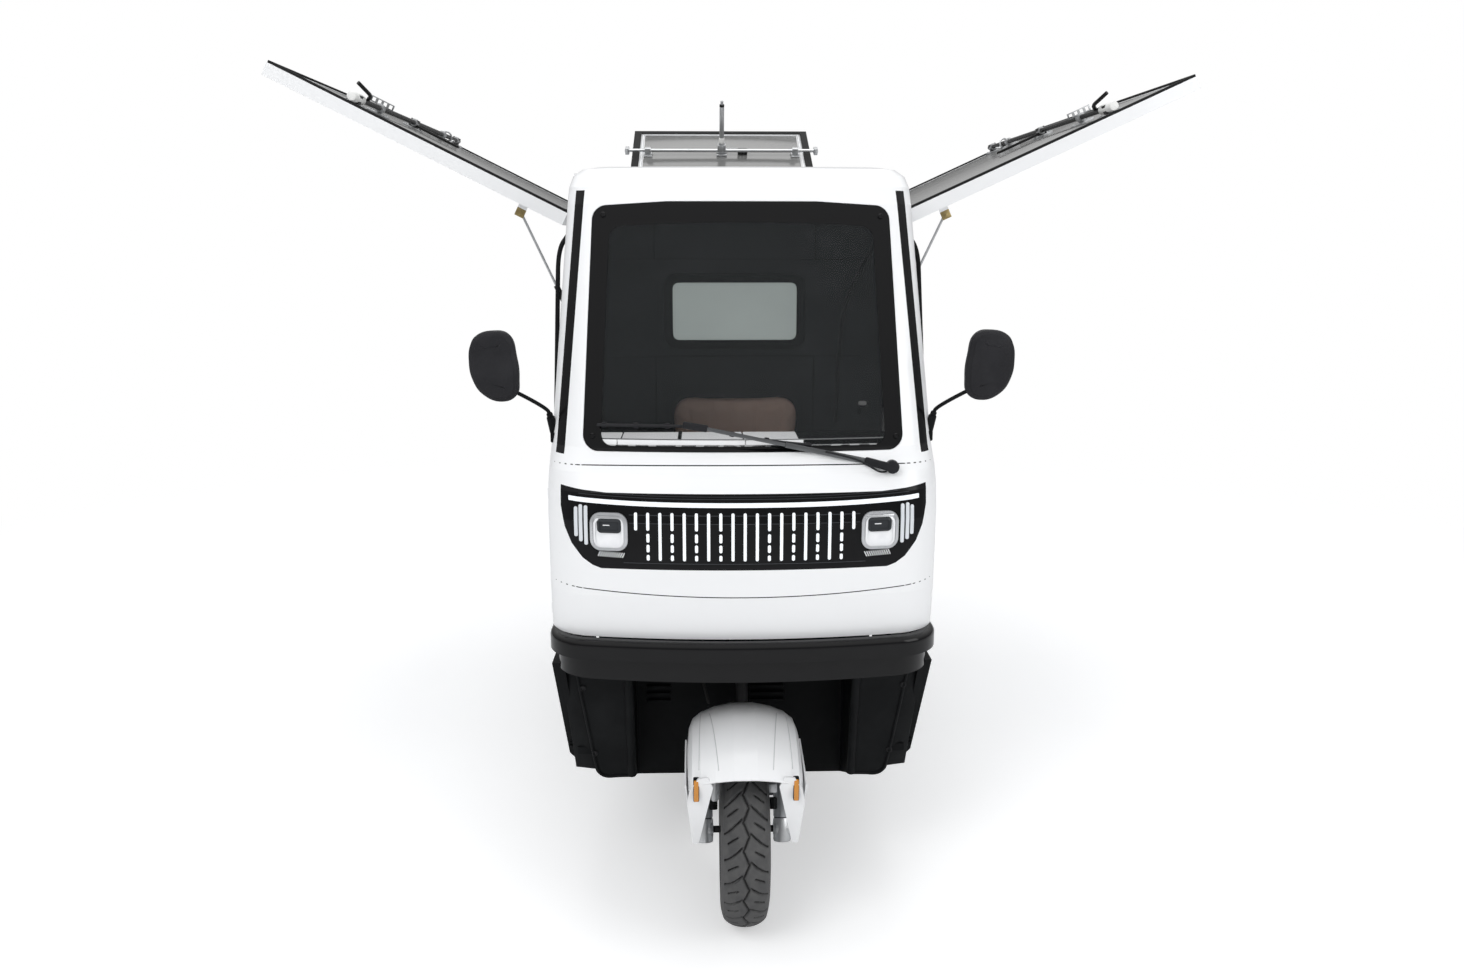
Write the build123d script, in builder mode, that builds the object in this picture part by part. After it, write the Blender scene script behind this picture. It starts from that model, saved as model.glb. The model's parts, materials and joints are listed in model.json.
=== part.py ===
from build123d import *
from math import atan2, cos, degrees, hypot, radians, sin
import os

# Electric cargo tricycle: closed one-seat cab, cargo box with two gull wings and a rear door
# Millimetres, +Z up, the nose faces -Y, the ground is Z = 0
# "Depth" d is the distance behind the foremost plane of the cab's nose

# Cab
CAB_HALF = 500.0
CAB_LENGTH = 912.0
CAB_WALL = 24.0
CAB_SEAM = 1246.0
DOOR_HEAD = 1868.0
NOSE_BOTTOM = 806.0
SHELL_BOTTOM = 600.0
FLUSH_DEPTH = 6.0
PANEL_GAP = 5.0
SEAT_GAP = 0.3

# Cargo box
BOX_FRONT = 917.0
BOX_LENGTH = 1535.0
BOX_HALF = 498.0
FLOOR_TOP = 600.0
FLOOR_SHEET = 20.0
ROOF_WALL = 20.0
ROOF_CORNER = 72.0
POST_WIDE = 47.0
POST_DEEP = 40.0
BOARD_SHEET = 20.0

# Wings and rear door share one framed panel design
HINGE_HEIGHT = 1877.0
HINGE_STANDOFF = 9.0
HINGE_GAP = 6.0
PANEL_THICK = 40.0
PANEL_SKIN = 3.0
PANEL_RIM = 50.0
PANEL_EDGE = 36.0
WING_REACH = HINGE_HEIGHT - FLOOR_TOP - 287.0
WING_LEFT_TILT = 26.4
WING_RIGHT_TILT = 24.5
DOOR_REACH = HINGE_HEIGHT - FLOOR_TOP - 180.0
DOOR_TILT = 26.4
DOOR_HALF = 451.0
BARREL_R = 7.0
LEAF = 3.0

# Gas struts
STRUT_RUN = 144.0
STRUT_PIN_DEPTH = 75.0
STRUT_FOOT_IN = 67.0
STRUT_FOOT_DROP = 506.0
STRUT_INSET = 73.0
STRUT_TUBE_R = 9.0
STRUT_ROD_R = 4.0
STRUT_EYE_R = 7.0
STRUT_TUBE_LENGTH = 306.0

# Wheels and axles
TYRE_R = 246.0
TYRE_WIDE = 128.0
BEAD_R = 152.0
FRONT_AXLE = 86.0
REAR_AXLE = 2000.0
REAR_TRACK = 800.0
HUB_R = 38.0
FRONT_PIN_R = 9.0
REAR_STUB_R = 17.0
RUN_FIT = 0.05

# Steering
RAKE = 22.0
FORK_HALF = 104.0
FORK_LEG_R = 16.0
STEM_R = 16.0
BAR_UP = 868.0
BAR_HALF = 285.0

# Chassis
RAIL_HALF = 260.0
RAIL_WIDE = 40.0
RAIL_HIGH = 50.0
CAB_FLOOR = 420.0
CAB_FLOOR_SHEET = 20.0
WELL_HALF = 300.0
WELL_REAR = 420.0
WELL_LOW = 243.0
WELL_TOP = 690.0
SHEET = 8.0

ROOF_TOP = HINGE_HEIGHT + 123.0
RAIL_TOP = FLOOR_TOP - FLOOR_SHEET
BOX_REAR = BOX_FRONT + BOX_LENGTH
FLANGE = 4.0
DOOR_INNER = BOX_REAR + PANEL_GAP + FLANGE + PANEL_GAP
DOOR_HINGE = DOOR_INNER + PANEL_THICK + HINGE_STANDOFF
POST_OUT = BOX_HALF - PANEL_THICK - HINGE_GAP
WING_HINGE = BOX_HALF + HINGE_STANDOFF

# The origin is on the ground, midway between the front tyre and the raised door's edge
DOOR_ENDS = DOOR_HINGE + DOOR_REACH * cos(radians(DOOR_TILT))
DOOR_ENDS += (HINGE_STANDOFF + PANEL_THICK) * sin(radians(DOOR_TILT))
NOSE_Y = -(DOOR_ENDS + FRONT_AXLE - TYRE_R) / 2


def at(depth):
    return NOSE_Y + depth


def facing(depth):
    return Plane.XZ.offset(-at(depth))


def block(x0, x1, d0, d1, z0, z1, mode=Mode.ADD):
    with Locations(((x0 + x1) / 2, at((d0 + d1) / 2), (z0 + z1) / 2)):
        Box(x1 - x0, d1 - d0, z1 - z0, mode=mode)


def rod(start, end, radius, mode=Mode.ADD):
    line = Vector(*end) - Vector(*start)
    with Locations(Location(Plane(origin=start, z_dir=line))):
        Cylinder(radius, line.length, align=(Align.CENTER, Align.CENTER, Align.MIN), mode=mode)


def keep(piece, name):
    piece.part.label = name
    export_step(piece.part, f"parts/{name}.step")


os.makedirs("parts", exist_ok=True)

# Cab body: plan sections, each a crowned front, two round corners, two sides and a back
# height, setback of the front, its crown, front half width, corner radius, back half width, roof drop
CAB_LEVELS = (
    (SHELL_BOTTOM, 30.0, 60.0, CAB_HALF, 130.0, CAB_HALF, 0.0),
    (NOSE_BOTTOM - 6.0, 20.0, 60.0, CAB_HALF, 130.0, CAB_HALF, 0.0),
    (CAB_SEAM - 326.0, 2.0, 60.0, CAB_HALF, 130.0, CAB_HALF, 0.0),
    (CAB_SEAM - 246.0, 0.0, 60.0, CAB_HALF, 130.0, CAB_HALF, 0.0),
    (CAB_SEAM - 136.0, 0.0, 60.0, CAB_HALF, 130.0, CAB_HALF, 0.0),
    (CAB_SEAM - 66.0, 12.0, 60.0, CAB_HALF - 1.0, 130.0, CAB_HALF, 0.0),
    (CAB_SEAM - 21.0, 38.0, 58.0, CAB_HALF - 3.0, 125.0, CAB_HALF, 0.0),
    (CAB_SEAM + 6.0, 64.0, 55.0, CAB_HALF - 5.0, 120.0, CAB_HALF, 0.0),
    (CAB_SEAM + 34.0, 90.0, 52.0, CAB_HALF - 7.0, 115.0, CAB_HALF, 0.0),
    (DOOR_HEAD + 12.0, 316.0, 40.0, CAB_HALF - 48.0, 90.0, CAB_HALF - 2.0, 0.0),
    (DOOR_HEAD + 57.0, 340.0, 40.0, CAB_HALF - 51.0, 86.0, CAB_HALF - 5.0, 8.0),
    (DOOR_HEAD + 87.0, 372.0, 36.0, CAB_HALF - 60.0, 80.0, CAB_HALF - 14.0, 18.0),
    (DOOR_HEAD + 106.0, 420.0, 30.0, CAB_HALF - 80.0, 74.0, CAB_HALF - 34.0, 23.0),
    (DOOR_HEAD + 114.0, 480.0, 22.0, CAB_HALF - 112.0, 68.0, CAB_HALF - 66.0, 24.0),
)


def cab_outline(setback, crown, half, corner, back_half, back):
    with BuildLine() as outline:
        front = ThreePointArc((-half, at(setback + crown)), (0, at(setback)), (half, at(setback + crown)))
        side = Line(front @ 1, (back_half, at(back)))
        rear = Line(side @ 1, (-back_half, at(back)))
        Line(rear @ 1, front @ 0)
    make_face(outline.edges())


def cab_block(inset, reach=0.0):
    with BuildPart() as body:
        for height, setback, crown, half, corner, back_half, drop in CAB_LEVELS:
            lowered = height - (drop * inset / CAB_WALL if inset > 0 else 0)
            with BuildSketch(Plane.XY.offset(lowered)) as level:
                cab_outline(setback + inset, crown, half - inset, corner, back_half - inset, CAB_LENGTH + reach)
                fillet(level.vertices().group_by(Axis.Y)[0], corner - 0.6 * inset)
        loft(ruled=True)
    return body.part


def front_depth(x, z):
    # Depth of the cab's front surface at a place on its face
    for low, high in zip(CAB_LEVELS, CAB_LEVELS[1:]):
        if low[0] <= z <= high[0]:
            share = (z - low[0]) / (high[0] - low[0])
            setback = low[1] + share * (high[1] - low[1])
            crown = low[2] + share * (high[2] - low[2])
            half = low[3] + share * (high[3] - low[3])
            return setback + crown * (x / half) ** 2
    return 0.0


cab_outer = cab_block(0.0)
cab_inner = cab_block(CAB_WALL, 20.0)
cab_flush = cab_block(FLUSH_DEPTH)

# Windscreen outline, seen from the front
GLASS_BOTTOM, GLASS_TOP = CAB_SEAM + 27.0, DOOR_HEAD + 21.0
GLASS_HALF_LOW, GLASS_HALF_HIGH = 404.0, 384.0
GLASS_CROWN = 15.0
GLASS_CORNER = 38.0
GLASS_LAND = 26.0


def screen_outline(grow):
    low, high = GLASS_HALF_LOW + grow, GLASS_HALF_HIGH + grow
    bottom, top = GLASS_BOTTOM - grow, GLASS_TOP + grow
    side, inner = top - GLASS_CROWN, top - GLASS_CROWN / 4
    points = ((-low, bottom), (low, bottom), (high, side), (high / 2, inner), (-high / 2, inner), (-high, side))
    Polygon(*points, align=None)
    return GLASS_CORNER + grow


def face_prism(draw, mode):
    with BuildSketch(facing(500.0)) as face:
        corner = draw()
        fillet(face.vertices(), corner)
    extrude(face.sketch, amount=700.0, mode=mode)


# Door opening, seen from the side: an upright front edge that rakes back above the seam
DOOR_FRONT, DOOR_BACK = 270.0, 852.0
DOOR_SILL = SHELL_BOTTOM + 18.0
DOOR_RAKE = 478.0
DOOR_ROUND = 40.0


def door_outline(grow):
    points = (
        (at(DOOR_FRONT - grow), DOOR_SILL - grow),
        (at(DOOR_BACK + grow), DOOR_SILL - grow),
        (at(DOOR_BACK + grow), DOOR_HEAD + grow),
        (at(DOOR_RAKE - grow), DOOR_HEAD + grow),
        (at(DOOR_FRONT - grow), CAB_SEAM + 20.0),
    )
    Polygon(*points, align=None)


def side_prism(grow, side, mode, inner=300.0):
    with BuildSketch(Plane.YZ.offset(side * inner)) as face:
        door_outline(grow)
        fillet(face.vertices(), DOOR_ROUND + grow)
    extrude(face.sketch, amount=side * 300.0, mode=mode)


# Black pillar strips between the windscreen frame and the doors, seen from the front
STRIP_LOW, STRIP_HIGH = (464.0, CAB_SEAM + 16.0), (418.0, DOOR_HEAD + 47.0)
STRIP_WIDE = 24.0


def strip_outline(side):
    (x0, z0), (x1, z1) = STRIP_LOW, STRIP_HIGH
    w = STRIP_WIDE / 2
    points = ((side * (x0 - w), z0), (side * (x0 + w), z0), (side * (x1 + w), z1), (side * (x1 - w), z1))
    Polygon(*points, align=None)


with BuildPart() as cab_shell:
    add(cab_outer)
    add(cab_inner, mode=Mode.SUBTRACT)
    # the nose panel fills the front below the seam
    block(-600, 600, -100, DOOR_FRONT - PANEL_GAP, 0, CAB_SEAM, mode=Mode.SUBTRACT)
    for side in (-1, 1):
        side_prism(PANEL_GAP, side, Mode.SUBTRACT)
    face_prism(lambda: screen_outline(-GLASS_LAND), Mode.SUBTRACT)

screen_band = cab_outer - cab_flush

with BuildPart() as windscreen:
    add(screen_band)
    face_prism(lambda: screen_outline(0.0), Mode.INTERSECT)

with BuildPart() as screen_seat:
    add(screen_band)
    face_prism(lambda: screen_outline(1.0), Mode.INTERSECT)

with BuildPart() as pillar_strips:
    add(screen_band)
    with BuildSketch(facing(500.0)):
        for side in (-1, 1):
            strip_outline(side)
    extrude(amount=600.0, mode=Mode.INTERSECT)

with BuildPart() as cab_shell_cut:
    add(cab_shell.part)
    add(screen_seat.part, mode=Mode.SUBTRACT)
    add(pillar_strips.part, mode=Mode.SUBTRACT)

keep(cab_shell_cut, "cab_shell")
keep(windscreen, "windscreen")
keep(pillar_strips, "pillar_strips")

# Lamp panel: a black band round the nose, its right half outline from the top middle to the bottom
# half width, height under the cab's seam
LAMP_EDGE = (
    (340.0, 64.0), (400.0, 59.0), (457.0, 52.0), (457.0, 103.0), (447.0, 153.0), (430.0, 193.0),
    (402.0, 229.0), (378.0, 246.0), (356.0, 254.0),
)


def lamp_outline():
    right = [(x, CAB_SEAM - drop) for x, drop in LAMP_EDGE]
    left = [(-x, z) for x, z in reversed(right)]
    Polygon(*right, *left, align=None)


with BuildPart() as lamp_panel:
    add(screen_band)
    with BuildSketch(facing(300.0)):
        lamp_outline()
    extrude(amount=400.0, mode=Mode.INTERSECT)
keep(lamp_panel, "lamp_panel")

with BuildPart() as nose_panel:
    add(cab_outer)
    add(cab_inner, mode=Mode.SUBTRACT)
    block(-600, 600, -100, DOOR_FRONT - PANEL_GAP, NOSE_BOTTOM, CAB_SEAM, mode=Mode.INTERSECT)
    add(lamp_panel.part, mode=Mode.SUBTRACT)
keep(nose_panel, "nose_panel")

# Lights that stand proud of the lamp panel
PROUD = 2.5
LAMP_PROUD = 7.0
BAR_LOW, BAR_HIGH, BAR_LIGHT_HALF = CAB_SEAM - 96.0, CAB_SEAM - 80.0, 438.0
SLAT_COUNT = 19
SLAT_PITCH = 29.8
SLAT_WIDE = 7.0
SLAT_LOW, SLAT_HIGH = CAB_SEAM - 230.0, CAB_SEAM - 110.0
HEADLAMP_X, HEADLAMP_Z, HEADLAMP_SIZE, HEADLAMP_ROUND = 335.0, CAB_SEAM - 159.0, 94.0, 24.0

proud_band = cab_block(-PROUD) - cab_outer
lamp_band = cab_block(-LAMP_PROUD) - cab_outer

with BuildPart() as light_strips:
    add(proud_band)
    with BuildSketch(facing(250.0)):
        with Locations((0, (BAR_LOW + BAR_HIGH) / 2)):
            Rectangle(2 * BAR_LIGHT_HALF, BAR_HIGH - BAR_LOW)
        with Locations((0, (SLAT_LOW + SLAT_HIGH) / 2)):
            with GridLocations(SLAT_PITCH, 1, SLAT_COUNT, 1):
                Rectangle(SLAT_WIDE, SLAT_HIGH - SLAT_LOW)
    extrude(amount=350.0, mode=Mode.INTERSECT)
keep(light_strips, "light_strips")

with BuildPart() as headlamps:
    add(lamp_band)
    with BuildSketch(facing(250.0)):
        with Locations((-HEADLAMP_X, HEADLAMP_Z), (HEADLAMP_X, HEADLAMP_Z)):
            RectangleRounded(HEADLAMP_SIZE, HEADLAMP_SIZE, HEADLAMP_ROUND)
    extrude(amount=350.0, mode=Mode.INTERSECT)
keep(headlamps, "headlamps")

# Bumper: a round-nosed beam over a thinner lip, wrapped round the plan of the nose
BUMPER_TOP, BUMPER_MID, BUMPER_LOW = NOSE_BOTTOM, NOSE_BOTTOM - 49.0, NOSE_BOTTOM - 109.0
BUMPER_END = 238.0
BUMPER_WALL = 26.0

with BuildPart() as bumper:
    for low, high, setback, half in (
        (BUMPER_MID, BUMPER_TOP, -20.0, CAB_HALF + 2.0),
        (BUMPER_LOW, BUMPER_MID, 2.0, CAB_HALF - 16.0),
    ):
        with BuildSketch(Plane.XY.offset(low)) as ring:
            cab_outline(setback, 60.0, half, 120.0, half, 400.0)
            fillet(ring.vertices().group_by(Axis.Y)[0], 120.0)
        extrude(amount=high - low)
    fillet(bumper.edges().filter_by_position(Axis.Z, BUMPER_TOP, BUMPER_TOP).sort_by(Axis.Y)[:-1], 16.0)
    for low, high, setback, half in (
        (BUMPER_MID - 1, BUMPER_TOP + 1, -20.0 + BUMPER_WALL, CAB_HALF + 2.0 - BUMPER_WALL),
        (BUMPER_LOW - 1, BUMPER_MID - 1, 2.0 + BUMPER_WALL, CAB_HALF - 16.0 - BUMPER_WALL),
    ):
        with BuildSketch(Plane.XY.offset(low)) as ring:
            cab_outline(setback, 60.0, half, 120.0, half, 420.0)
            fillet(ring.vertices().group_by(Axis.Y)[0], 96.0)
        extrude(amount=high - low, mode=Mode.SUBTRACT)
    block(-600, 600, BUMPER_END, 500, 600, 900, mode=Mode.SUBTRACT)
keep(bumper, "bumper")

# Apron: raked black sheet below the bumper, open over the wheel, with the wheel well behind it
APRON_TOP_HALF, APRON_LOW_HALF = 446.0, 400.0
APRON_LOW = 338.0
APRON_TOP_D, APRON_LOW_D = 140.0, 214.0
APRON_SHEET = 10.0
APRON_TOP = BUMPER_LOW - SEAT_GAP
COLUMN_HOLE_R = 46.0

with BuildPart() as apron:
    with BuildSketch(Plane.YZ.offset(-APRON_TOP_HALF)):
        Polygon(
            (at(APRON_TOP_D), APRON_TOP), (at(APRON_TOP_D + APRON_SHEET), APRON_TOP),
            (at(APRON_LOW_D + APRON_SHEET), APRON_LOW), (at(APRON_LOW_D), APRON_LOW), align=None,
        )
    extrude(amount=2 * APRON_TOP_HALF)
    with BuildSketch(facing(400.0)) as face:
        Polygon(
            (-APRON_TOP_HALF, APRON_TOP), (APRON_TOP_HALF, APRON_TOP),
            (APRON_LOW_HALF, APRON_LOW), (-APRON_LOW_HALF, APRON_LOW), align=None,
        )
        fillet(face.vertices().group_by(Axis.Y)[0], 30.0)
    extrude(amount=400.0, mode=Mode.INTERSECT)
    block(-WELL_HALF, WELL_HALF, 0, 400, APRON_LOW - 10, WELL_TOP, mode=Mode.SUBTRACT)
    for side in (-1, 1):
        x0, x1 = sorted((side * WELL_HALF, side * (WELL_HALF + SHEET)))
        with BuildSketch(Plane.YZ.offset(x0)):
            Polygon(
                (at(APRON_TOP_D + 4), WELL_TOP + SHEET - 2), (at(WELL_REAR + SHEET), WELL_TOP + SHEET - 2),
                (at(WELL_REAR + SHEET), WELL_LOW), (at(WELL_REAR), WELL_LOW),
                (at(APRON_LOW_D + 4), APRON_LOW), align=None,
            )
        extrude(amount=SHEET)
    block(-WELL_HALF, WELL_HALF, WELL_REAR, WELL_REAR + SHEET, WELL_LOW, WELL_TOP)
    block(-WELL_HALF, WELL_HALF, APRON_TOP_D + 8, WELL_REAR + SHEET, WELL_TOP, WELL_TOP + SHEET - 2)
    column_d = FRONT_AXLE + (WELL_TOP - TYRE_R) * sin(radians(RAKE)) / cos(radians(RAKE))
    with BuildSketch(Plane.XY.offset(WELL_TOP - 5)):
        with Locations((0, at(column_d))):
            SlotOverall(3 * COLUMN_HOLE_R, 2 * COLUMN_HOLE_R, rotation=90)
    extrude(amount=30.0, mode=Mode.SUBTRACT)
keep(apron, "apron")

# Side sills under the doors, raked at the front where they meet the bumper
SILL_FRONT_TOP, SILL_FRONT_LOW = 150.0, 300.0
SILL_LOW, SILL_BEVEL = 345.0, 378.0
SILL_REAR = CAB_LENGTH - 6.0

with BuildPart() as side_sills:
    with BuildSketch(facing(SILL_REAR)):
        for side in (-1, 1):
            Polygon(
                (side * (CAB_HALF + 4), APRON_TOP), (side * (CAB_HALF - 18), SILL_BEVEL),
                (side * (CAB_HALF - 42), SILL_LOW), (side * (CAB_HALF - 45), SILL_LOW + 8),
                (side * (CAB_HALF - 28), APRON_TOP), align=None,
            )
    extrude(amount=SILL_REAR - SILL_FRONT_TOP)
    with BuildSketch(Plane.YZ.offset(-600)):
        Polygon(
            (at(SILL_FRONT_TOP), APRON_TOP), (at(SILL_FRONT_LOW), SILL_LOW - 5), (at(SILL_REAR), SILL_LOW - 5),
            (at(SILL_REAR), SHELL_BOTTOM - SEAT_GAP), (at(DOOR_FRONT - PANEL_GAP - 2), SHELL_BOTTOM - SEAT_GAP),
            (at(DOOR_FRONT - PANEL_GAP - 2), APRON_TOP), align=None,
        )
    extrude(amount=1200.0, mode=Mode.INTERSECT)
keep(side_sills, "side_sills")

# Cab floor with foot wells either side of the wheel well
FLOOR_HALF = CAB_HALF - 48.0

with BuildPart() as cab_floor:
    block(-FLOOR_HALF, FLOOR_HALF, 228, CAB_LENGTH - 6, CAB_FLOOR - CAB_FLOOR_SHEET, CAB_FLOOR)
    hole = WELL_HALF + SHEET + SEAT_GAP
    block(-hole, hole, 0, WELL_REAR + SHEET + SEAT_GAP, 300, 500, mode=Mode.SUBTRACT)
keep(cab_floor, "cab_floor")

# Rear wall of the cab with its window
WINDOW_WIDE, WINDOW_HIGH, WINDOW_Z, WINDOW_ROUND = 404.0, 194.0, CAB_SEAM + 326.0, 26.0
WALL_SHEET = 16.0

with BuildPart() as cab_rear_wall:
    add(cab_block(CAB_WALL + SEAT_GAP, 20.0))
    block(-600, 600, CAB_LENGTH - WALL_SHEET, CAB_LENGTH, SHELL_BOTTOM, 2100, mode=Mode.INTERSECT)
    block(-FLOOR_HALF, FLOOR_HALF, CAB_LENGTH - WALL_SHEET, CAB_LENGTH, CAB_FLOOR + SEAT_GAP, SHELL_BOTTOM)
    with BuildSketch(facing(CAB_LENGTH + 10)):
        with Locations((0, WINDOW_Z)):
            RectangleRounded(WINDOW_WIDE, WINDOW_HIGH, WINDOW_ROUND)
    extrude(amount=60.0, mode=Mode.SUBTRACT)
keep(cab_rear_wall, "cab_rear_wall")

with BuildPart() as rear_window:
    with BuildSketch(facing(CAB_LENGTH - 5)):
        with Locations((0, WINDOW_Z)):
            fit = 2 * SEAT_GAP
            RectangleRounded(WINDOW_WIDE - fit, WINDOW_HIGH - fit, WINDOW_ROUND - SEAT_GAP)
    extrude(amount=5.0)
keep(rear_window, "rear_window")

# Dashboard, seat
with BuildPart() as dashboard:
    dash_top = CAB_SEAM + 30.0
    with BuildSketch(Plane.YZ.offset(-CAB_HALF + 40)):
        Polygon(
            (at(150), dash_top), (at(345), dash_top), (at(345), dash_top - 26), (at(200), dash_top - 34),
            (at(196), 940), (at(150), 940), align=None,
        )
    extrude(amount=2 * CAB_HALF - 80)
    add(cab_block(CAB_WALL + SEAT_GAP, 20.0), mode=Mode.INTERSECT)
keep(dashboard, "dashboard")

SEAT_HALF = 205.0
SEAT_BASE_TOP = 790.0
CUSHION = 84.0

with BuildPart() as seat_base:
    block(-SEAT_HALF, SEAT_HALF, 560, 860, CAB_FLOOR + SEAT_GAP, SEAT_BASE_TOP)
    fillet(seat_base.edges().filter_by(Axis.Z), 20.0)
keep(seat_base, "seat_base")

with BuildPart() as seat_cushion:
    low = SEAT_BASE_TOP + SEAT_GAP
    block(-SEAT_HALF, SEAT_HALF, 510, 800, low, low + CUSHION)
    fillet(seat_cushion.edges().filter_by(Axis.Z), 40.0)
    fillet(seat_cushion.faces().sort_by(Axis.Z)[-1].edges(), 18.0)
keep(seat_cushion, "seat_cushion")

with BuildPart() as seat_backrest:
    block(-200, 200, 822, CAB_LENGTH - WALL_SHEET - SEAT_GAP, 905, 1312)
    fillet(seat_backrest.edges().filter_by(Axis.Y), 46.0)
    fillet(seat_backrest.faces().sort_by(Axis.Y)[0].edges(), 18.0)
keep(seat_backrest, "seat_backrest")

# Wiper: arm from a pivot under the right lower corner of the glass, blade across its lower edge
WIPER_PIVOT = (368.0, CAB_SEAM - 8.0)
WIPER_CLIP = (-116.0, CAB_SEAM + 90.0)
WIPER_TIP = (-366.0, CAB_SEAM + 91.0)
WIPER_END = (168.0, CAB_SEAM + 44.0)
WIPER_LIFT = 13.0


def on_front(spot, lift):
    x, z = spot
    return (x, at(front_depth(x, z) - lift), z)


with BuildPart() as wiper:
    px, pz = WIPER_PIVOT
    rod((px, at(front_depth(px, pz) + 2), pz), (px, at(front_depth(px, pz) - 26), pz), 13.0)
    rod(on_front(WIPER_PIVOT, 20.0), on_front(WIPER_CLIP, 24.0), 5.0)
    rod(on_front(WIPER_CLIP, 26.0), on_front(WIPER_CLIP, 8.0), 9.0)
    rod(on_front(WIPER_TIP, WIPER_LIFT), on_front(WIPER_CLIP, WIPER_LIFT), 5.5)
    rod(on_front(WIPER_CLIP, WIPER_LIFT), on_front(WIPER_END, WIPER_LIFT), 5.5)
    add(cab_block(-SEAT_GAP), mode=Mode.SUBTRACT)
keep(wiper, "wiper")

# Mirrors on bent stems, carried by the pillar foot
MIRROR_X, MIRROR_D, MIRROR_Z = 622.0, 150.0, CAB_SEAM + 236.0
MIRROR_DEEP = 44.0
# outward, up
MIRROR_EDGE = (
    (48.0, 82.0), (60.0, 58.0), (58.0, 14.0), (40.0, -46.0), (10.0, -82.0), (-26.0, -90.0),
    (-54.0, -74.0), (-60.0, -34.0), (-55.0, 28.0), (-38.0, 70.0), (4.0, 86.0),
)

with BuildPart() as mirrors:
    for side in (-1, 1):
        with BuildSketch(facing(MIRROR_D + MIRROR_DEEP / 2)):
            Polygon(*[(side * (MIRROR_X + out), MIRROR_Z + up) for out, up in MIRROR_EDGE], align=None)
        extrude(amount=MIRROR_DEEP)
    chamfer(mirrors.faces().group_by(Axis.Y)[0].edges(), 14.0)
    for side in (-1, 1):
        foot = (side * 486.0, at(216.0), MIRROR_Z - 180.0)
        boot = (side * 493.0, at(206.0), MIRROR_Z - 136.0)
        elbow = (side * 500.0, at(196.0), MIRROR_Z - 110.0)
        joint = (side * (MIRROR_X - 20), at(MIRROR_D), MIRROR_Z - 50)
        rod(foot, boot, 11.0)
        rod(boot, elbow, 5.5)
        rod(elbow, joint, 5.5)
        with Locations(elbow):
            Sphere(6.5)
        with Locations((side * 484.0, at(216.0), MIRROR_Z - 190.0)):
            Box(20, 36, 26)
    add(cab_block(-SEAT_GAP), mode=Mode.SUBTRACT)
keep(mirrors, "mirrors")

# Framed panel used for both wings and the rear door
# out is the level direction away from the box, tilt the rise of the open panel


def closure_axes(out, tilt):
    out = Vector(*out)
    run = out * cos(radians(tilt)) + Vector(0, 0, sin(radians(tilt)))
    face = out * -sin(radians(tilt)) + Vector(0, 0, cos(radians(tilt)))
    return run, face


def closure_plane(hinge, out, tilt, lift=0.0):
    run, face = closure_axes(out, tilt)
    return Plane(origin=Vector(*hinge) + face * lift, x_dir=run.cross(face), z_dir=face)


def framed_panel(hinge, out, tilt, reach, half, rim):
    outer = -HINGE_STANDOFF
    inner = outer - PANEL_THICK
    with BuildPart() as panel:
        with BuildSketch(closure_plane(hinge, out, tilt, inner)):
            with Locations((0, (reach + HINGE_GAP) / 2)):
                Rectangle(2 * half, reach - HINGE_GAP)
        extrude(amount=PANEL_THICK)
        # open bays between the frame members
        bay_run = reach - HINGE_GAP - 2 * PANEL_EDGE
        bays = 3
        bay_wide = (2 * half - 2 * rim - (bays - 1) * PANEL_EDGE) / bays
        with BuildSketch(closure_plane(hinge, out, tilt, inner)):
            with Locations((0, (reach + HINGE_GAP) / 2)):
                with GridLocations(bay_wide + PANEL_EDGE, 1, bays, 1):
                    Rectangle(bay_wide, bay_run)
        extrude(amount=PANEL_THICK - PANEL_SKIN, mode=Mode.SUBTRACT)
        # strut brackets on the end members
        plane = closure_plane(hinge, out, tilt, -STRUT_PIN_DEPTH - 12)
        with BuildSketch(plane):
            for end in (-1, 1):
                with Locations((end * (half - rim - LEAF + 0.5), STRUT_RUN)):
                    Rectangle(2 * LEAF, 28)
        extrude(amount=STRUT_PIN_DEPTH + 12 + outer - PANEL_SKIN - 10)
        # moving halves of three hinges: barrel on the axis and a leaf on the skin
        for spot in (-0.42, 0.0, 0.42):
            middle = spot * 2 * half * 0.92 / 0.92
            with BuildSketch(closure_plane(hinge, out, tilt, -HINGE_STANDOFF - 1)):
                with Locations((middle, 22)):
                    Rectangle(50, 44)
            extrude(amount=LEAF + 1)
            run, face = closure_axes(out, tilt)
            line = run.cross(face)
            start = Vector(*hinge) + line * (middle - 25)
            rod(start, start + line * 50, BARREL_R)
    return panel


def fixed_barrels(hinge, out, half):
    # Outer thirds of each hinge and the leaf that carries them above the axis
    out = Vector(*out)
    line = out.cross(Vector(0, 0, 1))
    for spot in (-0.42, 0.0, 0.42):
        for end in (-1, 1):
            start = Vector(*hinge) + line * (spot * 2 * half + end * (37 + SEAT_GAP) - 12)
            rod(start, start + line * 24, BARREL_R)


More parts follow.
